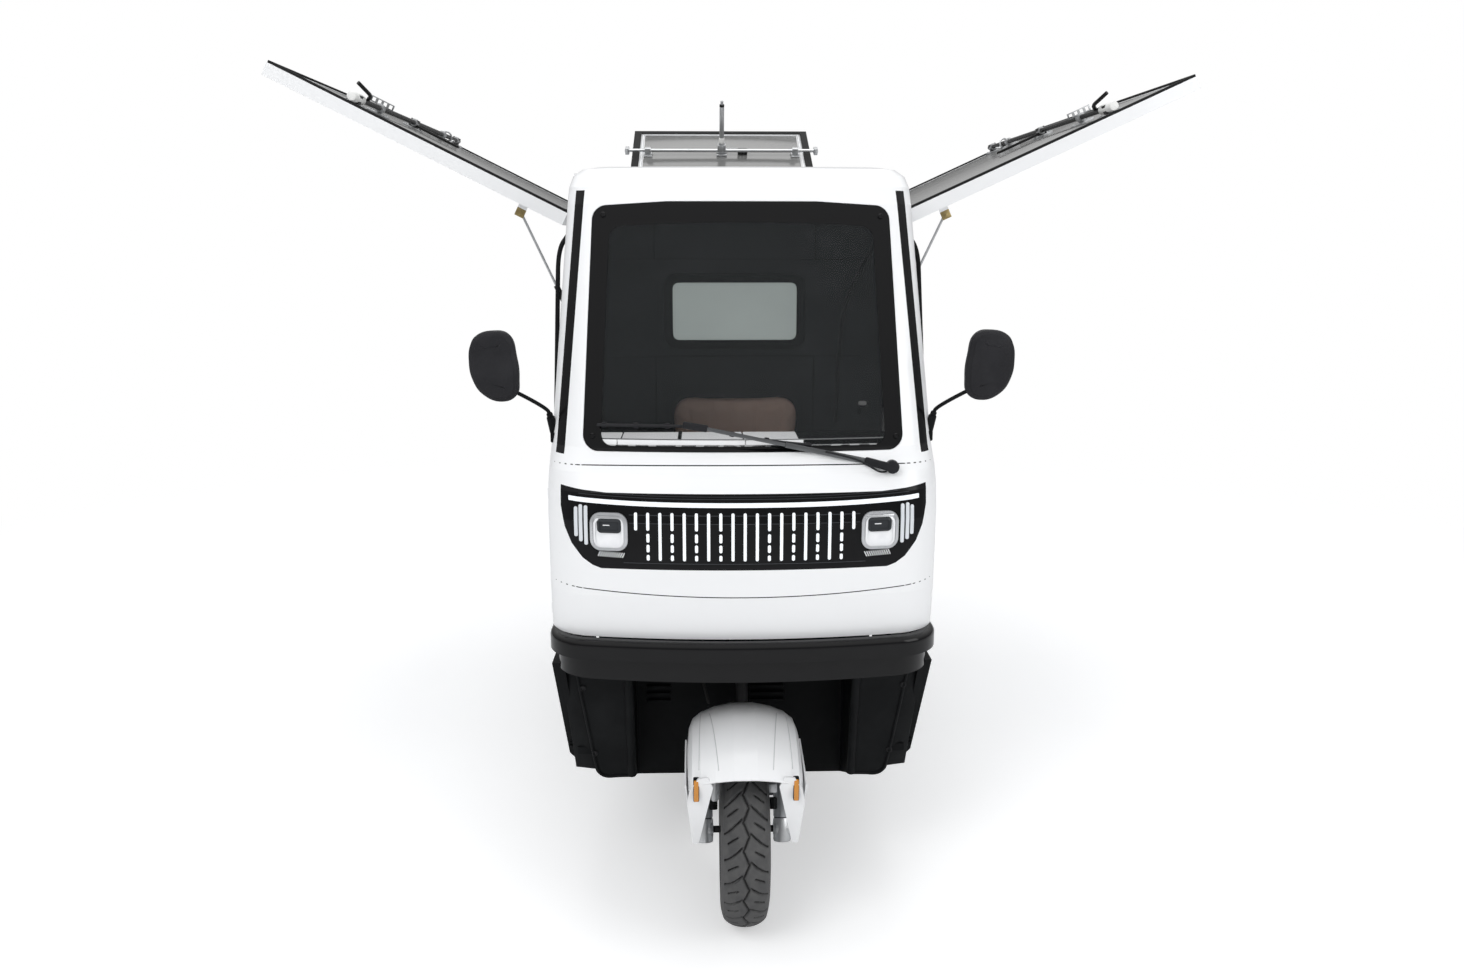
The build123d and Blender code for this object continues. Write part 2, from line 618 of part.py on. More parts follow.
def lock_rod(hinge, out, tilt, run_at, half_rod, half_clip, handle):
    lift = 14.0
    radius = 8.5
    run, face = closure_axes(out, tilt)
    line = run.cross(face)
    centre = Vector(*hinge) + run * run_at + face * lift
    with BuildPart() as lock:
        rod(centre - line * half_rod, centre + line * half_rod, radius)
        with BuildSketch(closure_plane(hinge, out, tilt, -HINGE_STANDOFF + SEAT_GAP)):
            with Locations((-half_clip, run_at), (half_clip, run_at), (0, run_at)):
                Rectangle(34, 60)
        extrude(amount=6)
        with BuildSketch(closure_plane(hinge, out, tilt, -HINGE_STANDOFF + 4)):
            with Locations((-half_clip, run_at), (half_clip, run_at), (0, run_at)):
                Rectangle(26, 28)
        extrude(amount=lift + HINGE_STANDOFF + radius)
        if handle > 0:
            rod(centre + face * 6, centre + face * handle, 7.0)
        else:
            with BuildSketch(closure_plane(hinge, out, tilt, 2)):
                with Locations((0, run_at - 82)):
                    Rectangle(22, 190)
            extrude(amount=7)
    return lock


def strut_points(hinge, out, tilt, offset):
    run, face = closure_axes(out, tilt)
    line = run.cross(face)
    pin = Vector(*hinge) + run * STRUT_RUN - face * STRUT_PIN_DEPTH + line * offset
    foot = Vector(*hinge) - Vector(*out) * STRUT_FOOT_IN - Vector(0, 0, STRUT_FOOT_DROP) + line * offset
    return foot, pin, line


def strut_pair(hinge, out, tilt, spread):
    with BuildPart() as tubes:
        for offset in (-spread, spread):
            foot, pin, line = strut_points(hinge, out, tilt, offset)
            way = (pin - foot).normalized()
            with BuildSketch(Plane(origin=foot + way * 7, z_dir=way)):
                Circle(STRUT_TUBE_R)
            extrude(amount=STRUT_TUBE_LENGTH - 7)
            with BuildSketch(Plane(origin=foot - line * 6, z_dir=line)):
                Circle(STRUT_EYE_R + 3)
            extrude(amount=12)
            with BuildSketch(Plane(origin=foot - line * 10, z_dir=line)):
                Circle(STRUT_FOOT_R + RUN_FIT)
            extrude(amount=20, mode=Mode.SUBTRACT)
            with BuildSketch(Plane(origin=foot + way * 24, z_dir=way)):
                Circle(STRUT_ROD_R + RUN_FIT)
            extrude(amount=STRUT_TUBE_LENGTH, mode=Mode.SUBTRACT)
    with BuildPart() as rods:
        for offset in (-spread, spread):
            foot, pin, line = strut_points(hinge, out, tilt, offset)
            way = (pin - foot).normalized()
            length = (pin - foot).length
            bottom = STRUT_TUBE_LENGTH - 30
            with BuildSketch(Plane(origin=foot + way * bottom, z_dir=way)):
                Circle(STRUT_ROD_R)
            extrude(amount=length - bottom - 4)
            with BuildSketch(Plane(origin=pin - line * 6, z_dir=line)):
                Circle(STRUT_EYE_R)
            extrude(amount=12)
            outward = 1 if offset > 0 else -1
            rod(pin, pin + line * outward * 16, 4.0)
    return tubes, rods


STRUT_FOOT_R = 5.0

wing_middle = at(BOX_FRONT + BOX_LENGTH / 2)
wing_half = BOX_LENGTH / 2
CLOSURES = (
    # name, hinge middle, outward direction, tilt, reach, half width, lock run, rod half, clip half, handle
    ("wing_left", (-WING_HINGE, wing_middle, HINGE_HEIGHT), (-1, 0, 0), WING_LEFT_TILT, WING_REACH, wing_half,
     730.0, wing_half - 8, wing_half - 60, 0.0),
    ("wing_right", (WING_HINGE, wing_middle, HINGE_HEIGHT), (1, 0, 0), WING_RIGHT_TILT, WING_REACH, wing_half,
     730.0, wing_half - 8, wing_half - 60, 0.0),
    ("rear_door", (0, at(DOOR_HINGE), HINGE_HEIGHT), (0, 1, 0), DOOR_TILT, DOOR_REACH, DOOR_HALF,
     786.0, DOOR_HALF + 35, DOOR_HALF - 80, 250.0),
)
for name, hinge, out, tilt, reach, half, run_at, rod_half, clip_half, handle in CLOSURES:
    keep(framed_panel(hinge, out, tilt, reach, half, PANEL_RIM), f"{name}_panel")
    keep(lock_rod(hinge, out, tilt, run_at, rod_half, clip_half, handle), f"{name}_lock")
    tubes, rods = strut_pair(hinge, out, tilt, half - STRUT_INSET)
    keep(tubes, f"{name}_strut_tubes")
    keep(rods, f"{name}_strut_rods")

# Box frame: four posts, top rails and headers, with the studs that carry the struts' feet
RAIL_LOW, RAIL_UP = HINGE_HEIGHT + 10, HINGE_HEIGHT + 50
post_in = POST_OUT - POST_WIDE

with BuildPart() as box_frame:
    for side in (-1, 1):
        x0, x1 = sorted((side * post_in, side * POST_OUT))
        for d0 in (BOX_FRONT, BOX_REAR - POST_DEEP):
            block(x0, x1, d0, d0 + POST_DEEP, RAIL_TOP + SEAT_GAP, RAIL_UP)
        x0, x1 = sorted((side * post_in, side * (BOX_HALF - ROOF_WALL + 5)))
        block(x0, x1, BOX_FRONT, BOX_REAR + PANEL_GAP, RAIL_LOW, RAIL_UP)
    block(-post_in, post_in, BOX_FRONT, BOX_FRONT + POST_DEEP, RAIL_LOW, RAIL_UP)
    block(-post_in, post_in, BOX_REAR - POST_DEEP, BOX_REAR + PANEL_GAP, RAIL_LOW, RAIL_UP)
    # sills that close the floor between the posts
    block(-post_in, post_in, BOX_FRONT + 16 + SEAT_GAP, BOX_FRONT + POST_DEEP, RAIL_TOP + SEAT_GAP, FLOOR_TOP)
    block(-post_in, post_in, BOX_REAR - POST_DEEP, BOX_REAR, RAIL_TOP + SEAT_GAP, FLOOR_TOP)
    for side, d, way in ((-1, 0, 1), (1, 0, 1), (-1, 1, -1), (1, 1, -1)):
        face_d = BOX_FRONT + POST_DEEP if d == 0 else BOX_REAR - POST_DEEP
        foot_x = side * (WING_HINGE - STRUT_FOOT_IN)
        foot_z = HINGE_HEIGHT - STRUT_FOOT_DROP
        end_d = BOX_FRONT + STRUT_INSET + 8 if d == 0 else BOX_REAR - STRUT_INSET - 8
        rod((foot_x, at(face_d - 2 * way), foot_z), (foot_x, at(end_d), foot_z), STRUT_FOOT_R)
    for side in (-1, 1):
        foot_d = DOOR_HINGE - STRUT_FOOT_IN
        foot_z = HINGE_HEIGHT - STRUT_FOOT_DROP
        end_x = DOOR_HALF - STRUT_INSET - 8
        rod((side * (post_in + 2), at(foot_d), foot_z), (side * end_x, at(foot_d), foot_z), STRUT_FOOT_R)
keep(box_frame, "box_frame")

# Roof: a rounded cap with skirts above the hinges
roof_half = BOX_HALF + 5
roof_front, roof_back = BOX_FRONT, DOOR_HINGE - 2

with BuildPart() as box_roof:
    with BuildSketch(facing(roof_back)) as cap:
        with Locations((0, (RAIL_LOW + ROOF_TOP) / 2)):
            Rectangle(2 * roof_half, ROOF_TOP - RAIL_LOW)
        fillet(cap.vertices().group_by(Axis.Y)[-1], ROOF_CORNER)
        with Locations((0, (RAIL_LOW + ROOF_TOP) / 2 - ROOF_WALL)):
            Rectangle(2 * roof_half - 2 * ROOF_WALL, ROOF_TOP - RAIL_LOW, mode=Mode.SUBTRACT)
    extrude(amount=roof_back - roof_front)
    block(-roof_half + 10, roof_half - 10, roof_front, roof_front + 20, RAIL_UP + SEAT_GAP, ROOF_TOP - 10)
    block(-roof_half + 10, roof_half - 10, roof_back - 20, roof_back, RAIL_LOW, ROOF_TOP - 40)
    block(-roof_half + 60, roof_half - 60, roof_back - 20, roof_back, ROOF_TOP - 41, ROOF_TOP - 10)
    for side in (-1, 1):
        fixed_barrels((side * WING_HINGE, wing_middle, HINGE_HEIGHT), (side, 0, 0), wing_half)
        x0, x1 = sorted((side * (roof_half - 1), side * (WING_HINGE + 1)))
        for spot in (-0.42, 0.0, 0.42):
            for end in (-1, 1):
                d = BOX_FRONT + BOX_LENGTH / 2 + spot * 2 * wing_half + end * (37 + SEAT_GAP)
                block(x0, x1, d - 12, d + 12, HINGE_HEIGHT + 2, HINGE_HEIGHT + 40)
    fixed_barrels((0, at(DOOR_HINGE), HINGE_HEIGHT), (0, 1, 0), DOOR_HALF)
    for spot in (-0.42, 0.0, 0.42):
        for end in (-1, 1):
            x = spot * 2 * DOOR_HALF + end * (37 + SEAT_GAP)
            block(x - 12, x + 12, roof_back - 1, DOOR_HINGE + 2, HINGE_HEIGHT + 2, HINGE_HEIGHT + 40)
keep(box_roof, "box_roof")

# Front wall of the box with the same window as the cab wall
with BuildPart() as box_front_wall:
    block(-post_in + SEAT_GAP, post_in - SEAT_GAP, BOX_FRONT, BOX_FRONT + 16, RAIL_TOP + SEAT_GAP, RAIL_LOW - SEAT_GAP)
    with BuildSketch(facing(BOX_FRONT + 30)):
        with Locations((0, WINDOW_Z)):
            RectangleRounded(WINDOW_WIDE, WINDOW_HIGH, WINDOW_ROUND)
    extrude(amount=60.0, mode=Mode.SUBTRACT)
keep(box_front_wall, "box_front_wall")

with BuildPart() as box_floor:
    half, ends = BOX_HALF - BOARD_SHEET - SEAT_GAP, POST_DEEP + SEAT_GAP
    block(-half, half, BOX_FRONT + ends, BOX_REAR - ends, RAIL_TOP + SEAT_GAP, FLOOR_TOP)
keep(box_floor, "box_floor")

with BuildPart() as box_sides:
    for side in (-1, 1):
        x0, x1 = sorted((side * (BOX_HALF - BOARD_SHEET), side * BOX_HALF))
        block(x0, x1, BOX_FRONT, BOX_REAR, RAIL_TOP - 20, HINGE_HEIGHT - WING_REACH - HINGE_GAP)
keep(box_sides, "box_sides")

# Rear surround: flange behind the wings, rim round the door and the panel below it
with BuildPart() as rear_surround:
    flange_d = BOX_REAR + PANEL_GAP
    low, door_low = RAIL_TOP - 20, HINGE_HEIGHT - DOOR_REACH - HINGE_GAP
    inner = DOOR_HALF + HINGE_GAP
    high = RAIL_LOW - SEAT_GAP
    block(-BOX_HALF, BOX_HALF, flange_d, flange_d + FLANGE, low, high)
    block(-post_in, post_in, flange_d - 1, flange_d + FLANGE + 1, door_low, RAIL_LOW + 1, mode=Mode.SUBTRACT)
    block(-BOX_HALF, BOX_HALF, flange_d + FLANGE, DOOR_INNER + PANEL_THICK, low, high)
    block(-inner, inner, flange_d + FLANGE, DOOR_INNER + PANEL_THICK + 1, door_low, RAIL_LOW + 1, mode=Mode.SUBTRACT)
    for side in (-1, 1):
        x0, x1 = sorted((side * post_in, side * (BOX_HALF - 70)))
        block(x0, x1, BOX_REAR + SEAT_GAP, flange_d, FLOOR_TOP, high)
keep(rear_surround, "rear_surround")

with BuildPart() as tail_lamps:
    lamp_d = DOOR_INNER + PANEL_THICK + SEAT_GAP
    for side in (-1, 1):
        x0, x1 = sorted((side * 390, side * 480))
        block(x0, x1, lamp_d, lamp_d + 14, 600, 740)
    fillet(tail_lamps.edges().filter_by(Axis.Y), 12.0)
keep(tail_lamps, "tail_lamps")

# Chassis: lower rails under the cab, upper rails under the box, head tube and backbone
axis_up = Vector(0, sin(radians(RAKE)), cos(radians(RAKE)))
axle_centre = Vector(0, at(FRONT_AXLE), TYRE_R)
HEAD_LOW, HEAD_HIGH, HEAD_R = 430.0, 610.0, 27.0
LOW_RAIL_TOP = CAB_FLOOR - CAB_FLOOR_SHEET
CROSS_FRONT = 512.0

# Square tubes butted with a hair's gap, so each stays a plain box
CROSS_MEMBERS = (BOX_FRONT + 24, 1300.0, 1680.0, 2320.0, BOX_REAR - 20)
rail_in, rail_out = RAIL_HALF - RAIL_WIDE / 2, RAIL_HALF + RAIL_WIDE / 2
cross_in, cross_out = rail_in - SEAT_GAP, rail_out + SEAT_GAP
under_rail = RAIL_TOP - RAIL_HIGH - SEAT_GAP
STRAPS = (1080.0, 1520.0)

with BuildPart() as chassis_frame:
    for side in (-1, 1):
        x0, x1 = sorted((side * rail_in, side * rail_out))
        block(x0, x1, BOX_FRONT + 4, BOX_REAR, RAIL_TOP - RAIL_HIGH, RAIL_TOP)
        block(x0, x1, CROSS_FRONT, 960, LOW_RAIL_TOP - 40, LOW_RAIL_TOP)
        block(x0, x1, BOX_FRONT + 4, 960, LOW_RAIL_TOP + SEAT_GAP, under_rail)
        for hanger in (REAR_AXLE - 280, REAR_AXLE + 280):
            block(x0, x1, hanger - 22, hanger + 22, 434.6, under_rail)
        x0, x1 = sorted((side * cross_out, side * (BOX_HALF - BOARD_SHEET - SEAT_GAP)))
        for cross in CROSS_MEMBERS:
            block(x0, x1, cross - 20, cross + 20, RAIL_TOP - 30, RAIL_TOP)
        x0, x1 = sorted((side * cross_out, side * 430))
        block(x0, x1, CROSS_FRONT, CROSS_FRONT + 40, LOW_RAIL_TOP - 40, LOW_RAIL_TOP)
        x0, x1 = sorted((side * (RAIL_HALF - 6), side * RAIL_HALF))
        for strap in STRAPS:
            block(x0, x1, strap - 20, strap + 20, 358 + SEAT_GAP, under_rail)
    for cross in CROSS_MEMBERS:
        block(-cross_in, cross_in, cross - 20, cross + 20, RAIL_TOP - 30, RAIL_TOP)
    block(-cross_in, cross_in, CROSS_FRONT, CROSS_FRONT + 40, LOW_RAIL_TOP - 40, LOW_RAIL_TOP)
    for strap in STRAPS:
        block(-RAIL_HALF, RAIL_HALF, strap - 20, strap + 20, 352, 358)
keep(chassis_frame, "chassis_frame")

# Head tube and backbone on a post that stands on the cab floor
BACKBONE_LOW, BACKBONE_HIGH = WELL_TOP + SHEET + 8, WELL_TOP + SHEET + 48

with BuildPart() as head_tube:
    block(-20, 20, 268, CROSS_FRONT + 40, BACKBONE_LOW, BACKBONE_HIGH)
    with BuildSketch(Plane(origin=axle_centre + axis_up * HEAD_LOW, z_dir=axis_up)):
        Circle(HEAD_R)
    extrude(amount=HEAD_HIGH - HEAD_LOW)
    with BuildSketch(Plane(origin=axle_centre + axis_up * (HEAD_LOW - 20), z_dir=axis_up)):
        Circle(STEM_R + RUN_FIT)
    extrude(amount=HEAD_HIGH - HEAD_LOW + 60, mode=Mode.SUBTRACT)
    block(-20, 20, CROSS_FRONT, CROSS_FRONT + 40, CAB_FLOOR + SEAT_GAP, BACKBONE_LOW - SEAT_GAP)
keep(head_tube, "head_tube")

with BuildPart() as battery_case:
    block(-RAIL_HALF + 8, RAIL_HALF - 8, 1030, 1570, 358 + SEAT_GAP, 525)
    fillet(battery_case.edges().filter_by(Axis.Z), 12.0)
keep(battery_case, "battery_case")

# Rear axle with its motor block, on leaf springs
AXLE_TUBE_R = 34.0
AXLE_ENDS = REAR_TRACK / 2 - TYRE_WIDE / 2 - 6
SPRING_PAD = 298.0

with BuildPart() as rear_axle:
    rod((-AXLE_ENDS, at(REAR_AXLE), TYRE_R), (AXLE_ENDS, at(REAR_AXLE), TYRE_R), AXLE_TUBE_R)
    rod((-REAR_TRACK / 2 - 30, at(REAR_AXLE), TYRE_R), (REAR_TRACK / 2 + 30, at(REAR_AXLE), TYRE_R), REAR_STUB_R)
    rod((-70, at(REAR_AXLE), TYRE_R), (90, at(REAR_AXLE), TYRE_R), 92.0)
    rod((20, at(REAR_AXLE - 210), TYRE_R + 20), (180, at(REAR_AXLE - 210), TYRE_R + 20), 84.0)
    block(30, 90, REAR_AXLE - 200, REAR_AXLE, TYRE_R - 40, TYRE_R + 60)
    for side in (-1, 1):
        x0, x1 = sorted((side * (RAIL_HALF - 30), side * (RAIL_HALF + 30)))
        block(x0, x1, REAR_AXLE - 45, REAR_AXLE + 45, TYRE_R + 10, SPRING_PAD - SEAT_GAP)
keep(rear_axle, "rear_axle")

with BuildPart() as leaf_springs:
    for side in (-1, 1):
        with BuildSketch(Plane.YZ.offset(side * RAIL_HALF - 25)):
            for index, half_span in enumerate((280, 210, 140)):
                rise = 112 * (half_span / 280) ** 2
                base = SPRING_PAD + 16 - 8 * index
                with BuildLine():
                    low = ThreePointArc(
                        (at(REAR_AXLE - half_span), base + rise), (at(REAR_AXLE), base),
                        (at(REAR_AXLE + half_span), base + rise),
                    )
                    end = Line(low @ 1, (at(REAR_AXLE + half_span), base + rise + 8.2))
                    high = ThreePointArc(
                        end @ 1, (at(REAR_AXLE), base + 8.2), (at(REAR_AXLE - half_span), base + rise + 8.2),
                    )
                    Line(high @ 1, low @ 0)
                make_face()
        extrude(amount=50)
keep(leaf_springs, "leaf_springs")

# Rear mudguards
GUARD_R = 286.0

with BuildPart() as rear_mudguards:
    for side in (-1, 1):
        with BuildSketch(Plane.YZ.offset(side * REAR_TRACK / 2 - 78)):
            with Locations((at(REAR_AXLE), TYRE_R)):
                Circle(GUARD_R)
                Circle(GUARD_R - 4, mode=Mode.SUBTRACT)
            with Locations((at(REAR_AXLE), TYRE_R - 200)):
                Rectangle(700, 500, mode=Mode.SUBTRACT)
        extrude(amount=156)
    for side in (-1, 1):
        block(side * REAR_TRACK / 2 - 20, side * REAR_TRACK / 2 + 20, REAR_AXLE - 20, REAR_AXLE + 20,
              TYRE_R + GUARD_R - 3, RAIL_TOP - SEAT_GAP)
keep(rear_mudguards, "rear_mudguards")

# Rear bumper with step and blank plate
with BuildPart() as rear_bumper:
    block(-360, 360, BOX_REAR + 30, BOX_REAR + 74, 430, 486)
    fillet(rear_bumper.edges().filter_by(Axis.X), 10.0)
    for side in (-1, 1):
        x0, x1 = sorted((side * (RAIL_HALF - 18), side * (RAIL_HALF + 18)))
        block(x0, x1, BOX_REAR - 60, BOX_REAR + 50, 440, 476)
        block(x0, x1, BOX_REAR - 60, BOX_REAR - 20, 440, RAIL_TOP - RAIL_HIGH - SEAT_GAP)
keep(rear_bumper, "rear_bumper")

# Steering: fork, stem and handlebar turn on the raked axis through the front axle
CROWN_LOW, CROWN_HIGH = 254.0, 286.0
MUDGUARD_HALF, MUDGUARD_SHEET = 148.0, 4.0


def along_axis(x, distance):
    return Vector(x, 0, 0) + axle_centre + axis_up * distance


with BuildPart() as fork:
    for side in (-1, 1):
        rod(along_axis(side * FORK_HALF, -26), along_axis(side * FORK_HALF, CROWN_HIGH), FORK_LEG_R)
        rod(along_axis(side * FORK_HALF, -30), along_axis(side * FORK_HALF, 120), FORK_LEG_R + 5)
    with BuildSketch(Plane(origin=along_axis(0, CROWN_LOW), x_dir=(1, 0, 0), z_dir=axis_up)):
        SlotOverall(2 * (FORK_HALF + FORK_LEG_R + 6), 2 * (FORK_LEG_R + 6))
    extrude(amount=CROWN_HIGH - CROWN_LOW)
    rod(along_axis(0, CROWN_HIGH - 5), along_axis(0, BAR_UP), STEM_R)
    rod(along_axis(-FORK_HALF - 24, 0), along_axis(FORK_HALF + 24, 0), FRONT_PIN_R)
keep(fork, "fork")

with BuildPart() as handlebar:
    rod(along_axis(-BAR_HALF + 90, BAR_UP + STEM_R), along_axis(BAR_HALF - 90, BAR_UP + STEM_R), 11.0)
    for side in (-1, 1):
        inner = along_axis(side * (BAR_HALF - 92), BAR_UP + STEM_R)
        outer = along_axis(side * BAR_HALF, BAR_UP + STEM_R) + Vector(0, 40, 0)
        way = (outer - inner).normalized()
        rod(inner, outer - way * 60, 11.3)
        rod(outer - way * 64, outer + way * 16, 16.0)
    rod(along_axis(0, BAR_UP + SEAT_GAP), along_axis(0, BAR_UP + 2 * STEM_R), 21.0)
keep(handlebar, "handlebar")

# Half of the mudguard's section: sideways, radius
GUARD_SECTION = ((30.0, 333.0), (74.0, 324.0), (112.0, 309.0), (134.0, 292.0), (144.0, 268.0), (148.0, 232.0))
GUARD_BACK, GUARD_FRONT = 50.0, 41.0
LEG_LEAN = 6.0

with BuildPart() as guard_legs:
    # plates that run down from the front edge, seen from the front they narrow to tips
    with BuildSketch(Plane.YZ.offset(-150)):
        Polygon((at(-123), 500), (at(-64), 290), (at(-58), 290), (at(-116), 500), align=None)
    extrude(amount=300)
    with BuildSketch(facing(100.0)):
        for side in (-1, 1):
            Polygon(
                (side * 96, 502), (side * 82, 470), (side * 119, 289), (side * 134, 289),
                (side * 147, 424), (side * 140, 460), (side * 120, 496), align=None,
            )
    extrude(amount=300, mode=Mode.INTERSECT)

with BuildPart() as front_mudguard:
    turned = radians(GUARD_BACK)
    start_plane = Plane(origin=axle_centre, x_dir=(1, 0, 0), z_dir=(0, -cos(turned), sin(turned)))
    outer_half = [(x, r) for x, r in GUARD_SECTION]
    inner_half = [(x - MUDGUARD_SHEET * (0.4 if x < 130 else 1), r - MUDGUARD_SHEET) for x, r in GUARD_SECTION]
    with BuildSketch(start_plane):
        around = [(-x, r) for x, r in reversed(outer_half)] + outer_half
        back = list(reversed(inner_half)) + [(-x, r) for x, r in inner_half]
        Polygon(*around, *back, align=None)
    revolve(axis=Axis(axle_centre, (1, 0, 0)), revolution_arc=GUARD_BACK + GUARD_FRONT)
    add(guard_legs.part)
    # side skirts, leaning in towards the fork
    lean = radians(LEG_LEAN)
    for side in (-1, 1):
        skirt = Plane(
            origin=(side * MUDGUARD_HALF, 0, 424), x_dir=(0, 1, 0), z_dir=(side * cos(lean), 0, -sin(lean)),
        )
        points = ((-98, 44), (-60, -132), (-26, -132), (30, -10), (150, 22), (130, 60), (0, 52))
        with BuildSketch(skirt):
            Polygon(*[(at(d), side * up) for d, up in points], align=None)
        extrude(amount=-MUDGUARD_SHEET)
    rod(along_axis(0, 280), along_axis(0, 400), STEM_R + 0.3, mode=Mode.SUBTRACT)
keep(front_mudguard, "front_mudguard")

# Wheels: one tyre section and one rim section, revolved about each axle


def tyre_at(x, y):
    with BuildPart() as tyre:
        half = TYRE_WIDE / 2
        with BuildSketch(Plane(origin=(x, y, TYRE_R), x_dir=(1, 0, 0), z_dir=(0, -1, 0))):
            with BuildLine():
                Polyline(
                    (-24, TYRE_R), (24, TYRE_R), (half - 9, TYRE_R - 16), (half, TYRE_R - 42),
                    (half - 12, BEAD_R), (12 - half, BEAD_R), (-half, TYRE_R - 42), (9 - half, TYRE_R - 16), close=True,
                )
            make_face()
        revolve(axis=Axis((x, y, TYRE_R), (1, 0, 0)))
    return tyre


def rim_at(x, y, bore, dish):
    with BuildPart() as rim:
        half = TYRE_WIDE / 2 - 12
        well = BEAD_R - SEAT_GAP
        with BuildSketch(Plane(origin=(x, y, TYRE_R), x_dir=(1, 0, 0), z_dir=(0, -1, 0))):
            with BuildLine():
                Polyline(
                    (-half, well), (half, well), (half, well - 6), (dish + 4, well - 20), (dish + 4, HUB_R),
                    (half - 20, HUB_R), (half - 20, bore + RUN_FIT), (20 - half, bore + RUN_FIT),
                    (20 - half, HUB_R), (dish - 4, HUB_R), (dish - 4, well - 20), (-half, well - 6), close=True,
                )
            make_face()
        revolve(axis=Axis((x, y, TYRE_R), (1, 0, 0)))
        with BuildSketch(Plane(origin=(x + dish - 20, y, TYRE_R), z_dir=(1, 0, 0))):
            with PolarLocations(92.0, 8):
                Circle(15.0)
        extrude(amount=40, mode=Mode.SUBTRACT)
    return rim


WHEELS = (
    ("front", 0.0, FRONT_AXLE, FRONT_PIN_R, 0.0),
    ("rear_left", -REAR_TRACK / 2, REAR_AXLE, REAR_STUB_R, -14.0),
    ("rear_right", REAR_TRACK / 2, REAR_AXLE, REAR_STUB_R, 14.0),
)
for name, x, depth, bore, dish in WHEELS:
    keep(tyre_at(x, at(depth)), f"{name}_tyre")
    keep(rim_at(x, at(depth), bore, dish), f"{name}_rim")

# Cab doors, cut from the same walls, hinged at their front edge
DOOR_AXIS_X = CAB_HALF + 8.0
DOOR_AXIS_D = DOOR_FRONT - 8.0
DOOR_HINGES = (CAB_SEAM - 432.0, CAB_SEAM - 114.0)
WINDOW_LOW = CAB_SEAM - 31.0
WINDOW_BORDER = 62.0
LATCH_Z = CAB_SEAM - 126.0


def window_outline():
    points = (
        (at(DOOR_FRONT + WINDOW_BORDER), WINDOW_LOW),
        (at(DOOR_BACK - WINDOW_BORDER), WINDOW_LOW),
        (at(DOOR_BACK - WINDOW_BORDER), DOOR_HEAD - WINDOW_BORDER),
        (at(DOOR_RAKE + WINDOW_BORDER - 20), DOOR_HEAD - WINDOW_BORDER),
        (at(DOOR_FRONT + WINDOW_BORDER), CAB_SEAM + 30.0),
    )
    Polygon(*points, align=None)


for side, name in ((-1, "left"), (1, "right")):
    with BuildPart() as door:
        add(cab_outer)
        add(cab_inner, mode=Mode.SUBTRACT)
        side_prism(0.0, side, Mode.INTERSECT)
        with BuildSketch(Plane.YZ.offset(side * 300)) as pane:
            window_outline()
            fillet(pane.vertices(), 34.0)
        extrude(amount=side * 300.0, mode=Mode.SUBTRACT)
        for z in DOOR_HINGES:
            rod((side * DOOR_AXIS_X, at(DOOR_AXIS_D), z - 14), (side * DOOR_AXIS_X, at(DOOR_AXIS_D), z + 14), 6.5)
            x0, x1 = sorted((side * (CAB_HALF - 2), side * (CAB_HALF + LEAF)))
            block(x0, x1, DOOR_FRONT + 2, DOOR_FRONT + 44, z - 14, z + 14)
            x0, x1 = sorted((side * (CAB_HALF), side * (CAB_HALF + 6)))
            block(x0, x1, DOOR_AXIS_D, DOOR_FRONT + 10, z - 14, z + 14)
        x0, x1 = sorted((side * (CAB_HALF - 4), side * (CAB_HALF + 12)))
        block(x0, x1, DOOR_BACK - 150, DOOR_BACK - 40, LATCH_Z - 14, LATCH_Z + 14)
    keep(door, f"cab_door_{name}")
    with BuildPart() as pane:
        add(cab_block(10.0, 20.0) - cab_block(15.0, 20.0))
        with BuildSketch(Plane.YZ.offset(side * 300)) as shape:
            window_outline()
            fillet(shape.vertices(), 34.0)
            offset(amount=-SEAT_GAP)
        extrude(amount=side * 300.0, mode=Mode.INTERSECT)
    keep(pane, f"door_glass_{name}")
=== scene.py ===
# %% [markdown]
# Electric cargo tricycle: a closed one-seat cab on a single steered wheel, and a cargo box whose two
# side wings and rear door stand open on gas struts. The solids come from the CAD model, already at
# their real size and place, in metres. This lesson gives them their finishes and adds the small parts
# that show: seals, lamps, tread, screws, lock rods, the seat's cover. Nothing in the CAD is moved.

import json
import math

import bpy
from mathutils import Matrix, Vector

